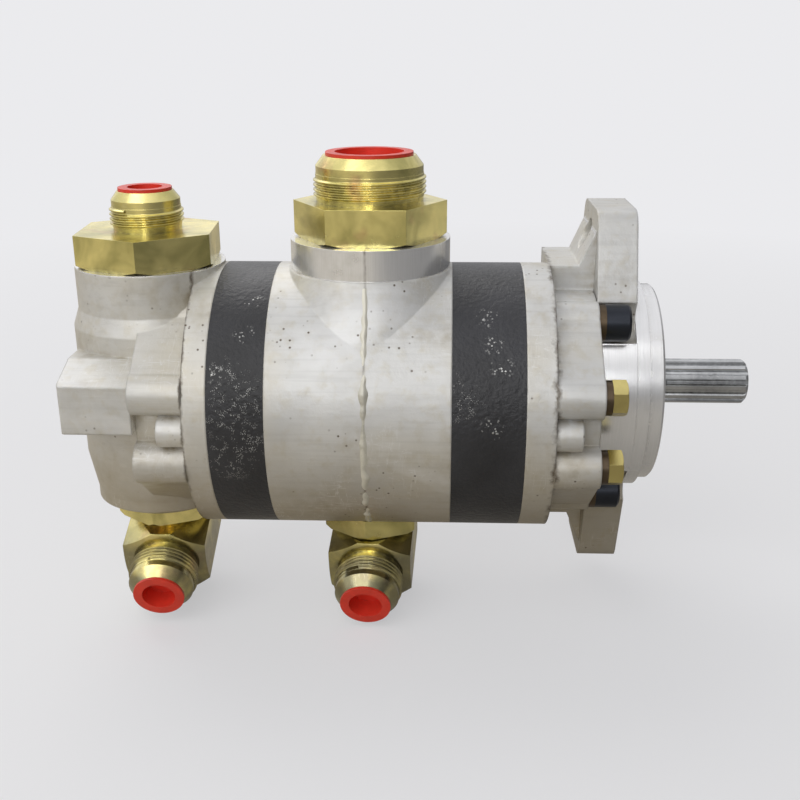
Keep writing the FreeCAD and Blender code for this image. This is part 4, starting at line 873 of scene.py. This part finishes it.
class GEARPUMP_OT_stage(bpy.types.Operator):
    """Set the floor, the lamps and the camera"""

    bl_idname = "gearpump.stage"
    bl_label = "Stage"

    def execute(self, context):
        scene = context.scene
        stage = scene.gear_pump_stage
        self.floor(stage)
        self.room(scene, stage)
        self.lights()
        self.camera(scene, stage)
        scene.view_settings.view_transform = "Standard"
        return {"FINISHED"}

    def floor(self, stage):
        made = bmesh.new()
        bmesh.ops.create_grid(made, x_segments=1, y_segments=1, size=FLOOR_SIZE)
        bmesh.ops.translate(made, verts=made.verts, vec=(0, 0, CAD_BOX[0].z - FLOOR_GAP))
        mesh = bpy.data.meshes.new("floor")
        made.to_mesh(mesh)
        made.free()
        mesh.materials.append(self.floor_finish(stage))
        floor = bpy.data.objects.new("floor", mesh)
        bpy.context.scene.collection.objects.link(floor)

    def floor_finish(self, stage):
        """White near the pump, where it takes the shadow, and backdrop further off."""
        shader = Shader("floor_white")
        away = shader.distance((CAD_BOX[0] + CAD_BOX[1]) / 2)
        paler = shader.blend(shader.ramp(away, *FLOOR_FADE), 0.55, 1.0)
        shown = seen(shader)
        mottled = shader.mix(shader.noise(3.0, 2), stage.floor,
                             [part * 0.97 for part in stage.floor])
        lit = shader.mix(paler, mottled, (0, 0, 0))
        # The room's window is on the left, so the floor gives back more light on that side.
        across = shader.ramp(shader.where()["X"], *BOUNCE_SPAN)
        bounce = shader.mix(across, stage.floor_bounce, stage.floor_shade)
        tone = shader.mix(shown, bounce, lit)
        glow = shader.mix(shader.math("MULTIPLY", shown, paler), (0, 0, 0), stage.backdrop)
        return shader.set(Base_Color=tone, Roughness=1.0, Specular_IOR_Level=0.0,
                          Emission_Color=glow, Emission_Strength=1.0)

    def room(self, scene, stage):
        """A pale room, dimmer to the right and in front, that shows evenly behind the pump."""
        world = World("room")
        facing = world.node("ShaderNodeVectorMath", {0: world.place, 1: ROOM_BRIGHT_SIDE},
                            operation="DOT_PRODUCT").outputs["Value"]
        level = world.blend(world.ramp(facing, -0.45, 0.55), 0.13, 1.12)
        rays = world.node("ShaderNodeLightPath").outputs
        shown = world.math("MAXIMUM", rays["Is Glossy Ray"], rays["Is Transmission Ray"])
        strength = world.math("MULTIPLY", level, world.blend(shown, stage.room_light, 1.0))
        strength = world.blend(rays["Is Camera Ray"], strength, 1.0)
        world.feed(stage.backdrop, world.background["Color"])
        world.feed(strength, world.background["Strength"])
        scene.world = world.world

    def lights(self):
        for name, settings in LAMPS.items():
            lamp(name, *settings)

    def camera(self, scene, stage):
        data = bpy.data.cameras.new("camera")
        data.lens = stage.lens
        data.clip_start = 0.01
        made = bpy.data.objects.new("camera", data)
        place, target = Vector(stage.camera_place), Vector(stage.camera_target)
        aim = (target - place).to_track_quat("-Z", "Y").to_matrix().to_4x4()
        roll = Matrix.Rotation(stage.camera_roll, 4, "Z")
        made.matrix_world = Matrix.Translation(place) @ aim @ roll
        scene.collection.objects.link(made)
        scene.camera = made


class GEARPUMP_PT_panel(bpy.types.Panel):
    """Lists the pump's finishing steps"""

    bl_label = "Gear pump"
    bl_idname = "GEARPUMP_PT_panel"
    bl_space_type = "VIEW_3D"
    bl_region_type = "UI"
    bl_category = "Gear pump"

    def draw(self, context):
        for operator in OPERATORS:
            self.layout.operator(operator.bl_idname)


OPERATORS = (
    GEARPUMP_OT_castings,
    GEARPUMP_OT_gear_housings,
    GEARPUMP_OT_fittings,
    GEARPUMP_OT_metalwork,
    GEARPUMP_OT_stage,
)
SETTINGS = {
    "gear_pump_finish": GearPumpFinish,
    "gear_pump_detail": GearPumpDetail,
    "gear_pump_stage": GearPumpStage,
}


def register():
    for group in SETTINGS.values():
        bpy.utils.register_class(group)
    for operator in OPERATORS:
        bpy.utils.register_class(operator)
    bpy.utils.register_class(GEARPUMP_PT_panel)
    for name, group in SETTINGS.items():
        setattr(bpy.types.Scene, name, bpy.props.PointerProperty(type=group))


def unregister():
    for name in SETTINGS:
        delattr(bpy.types.Scene, name)
    bpy.utils.unregister_class(GEARPUMP_PT_panel)
    for made in (*reversed(OPERATORS), *SETTINGS.values()):
        bpy.utils.unregister_class(made)


def main():
    register()
    bpy.ops.gearpump.castings()
    bpy.ops.gearpump.gear_housings()
    bpy.ops.gearpump.fittings()
    bpy.ops.gearpump.metalwork()
    bpy.ops.gearpump.stage()


if __name__ == "__main__":
    main()
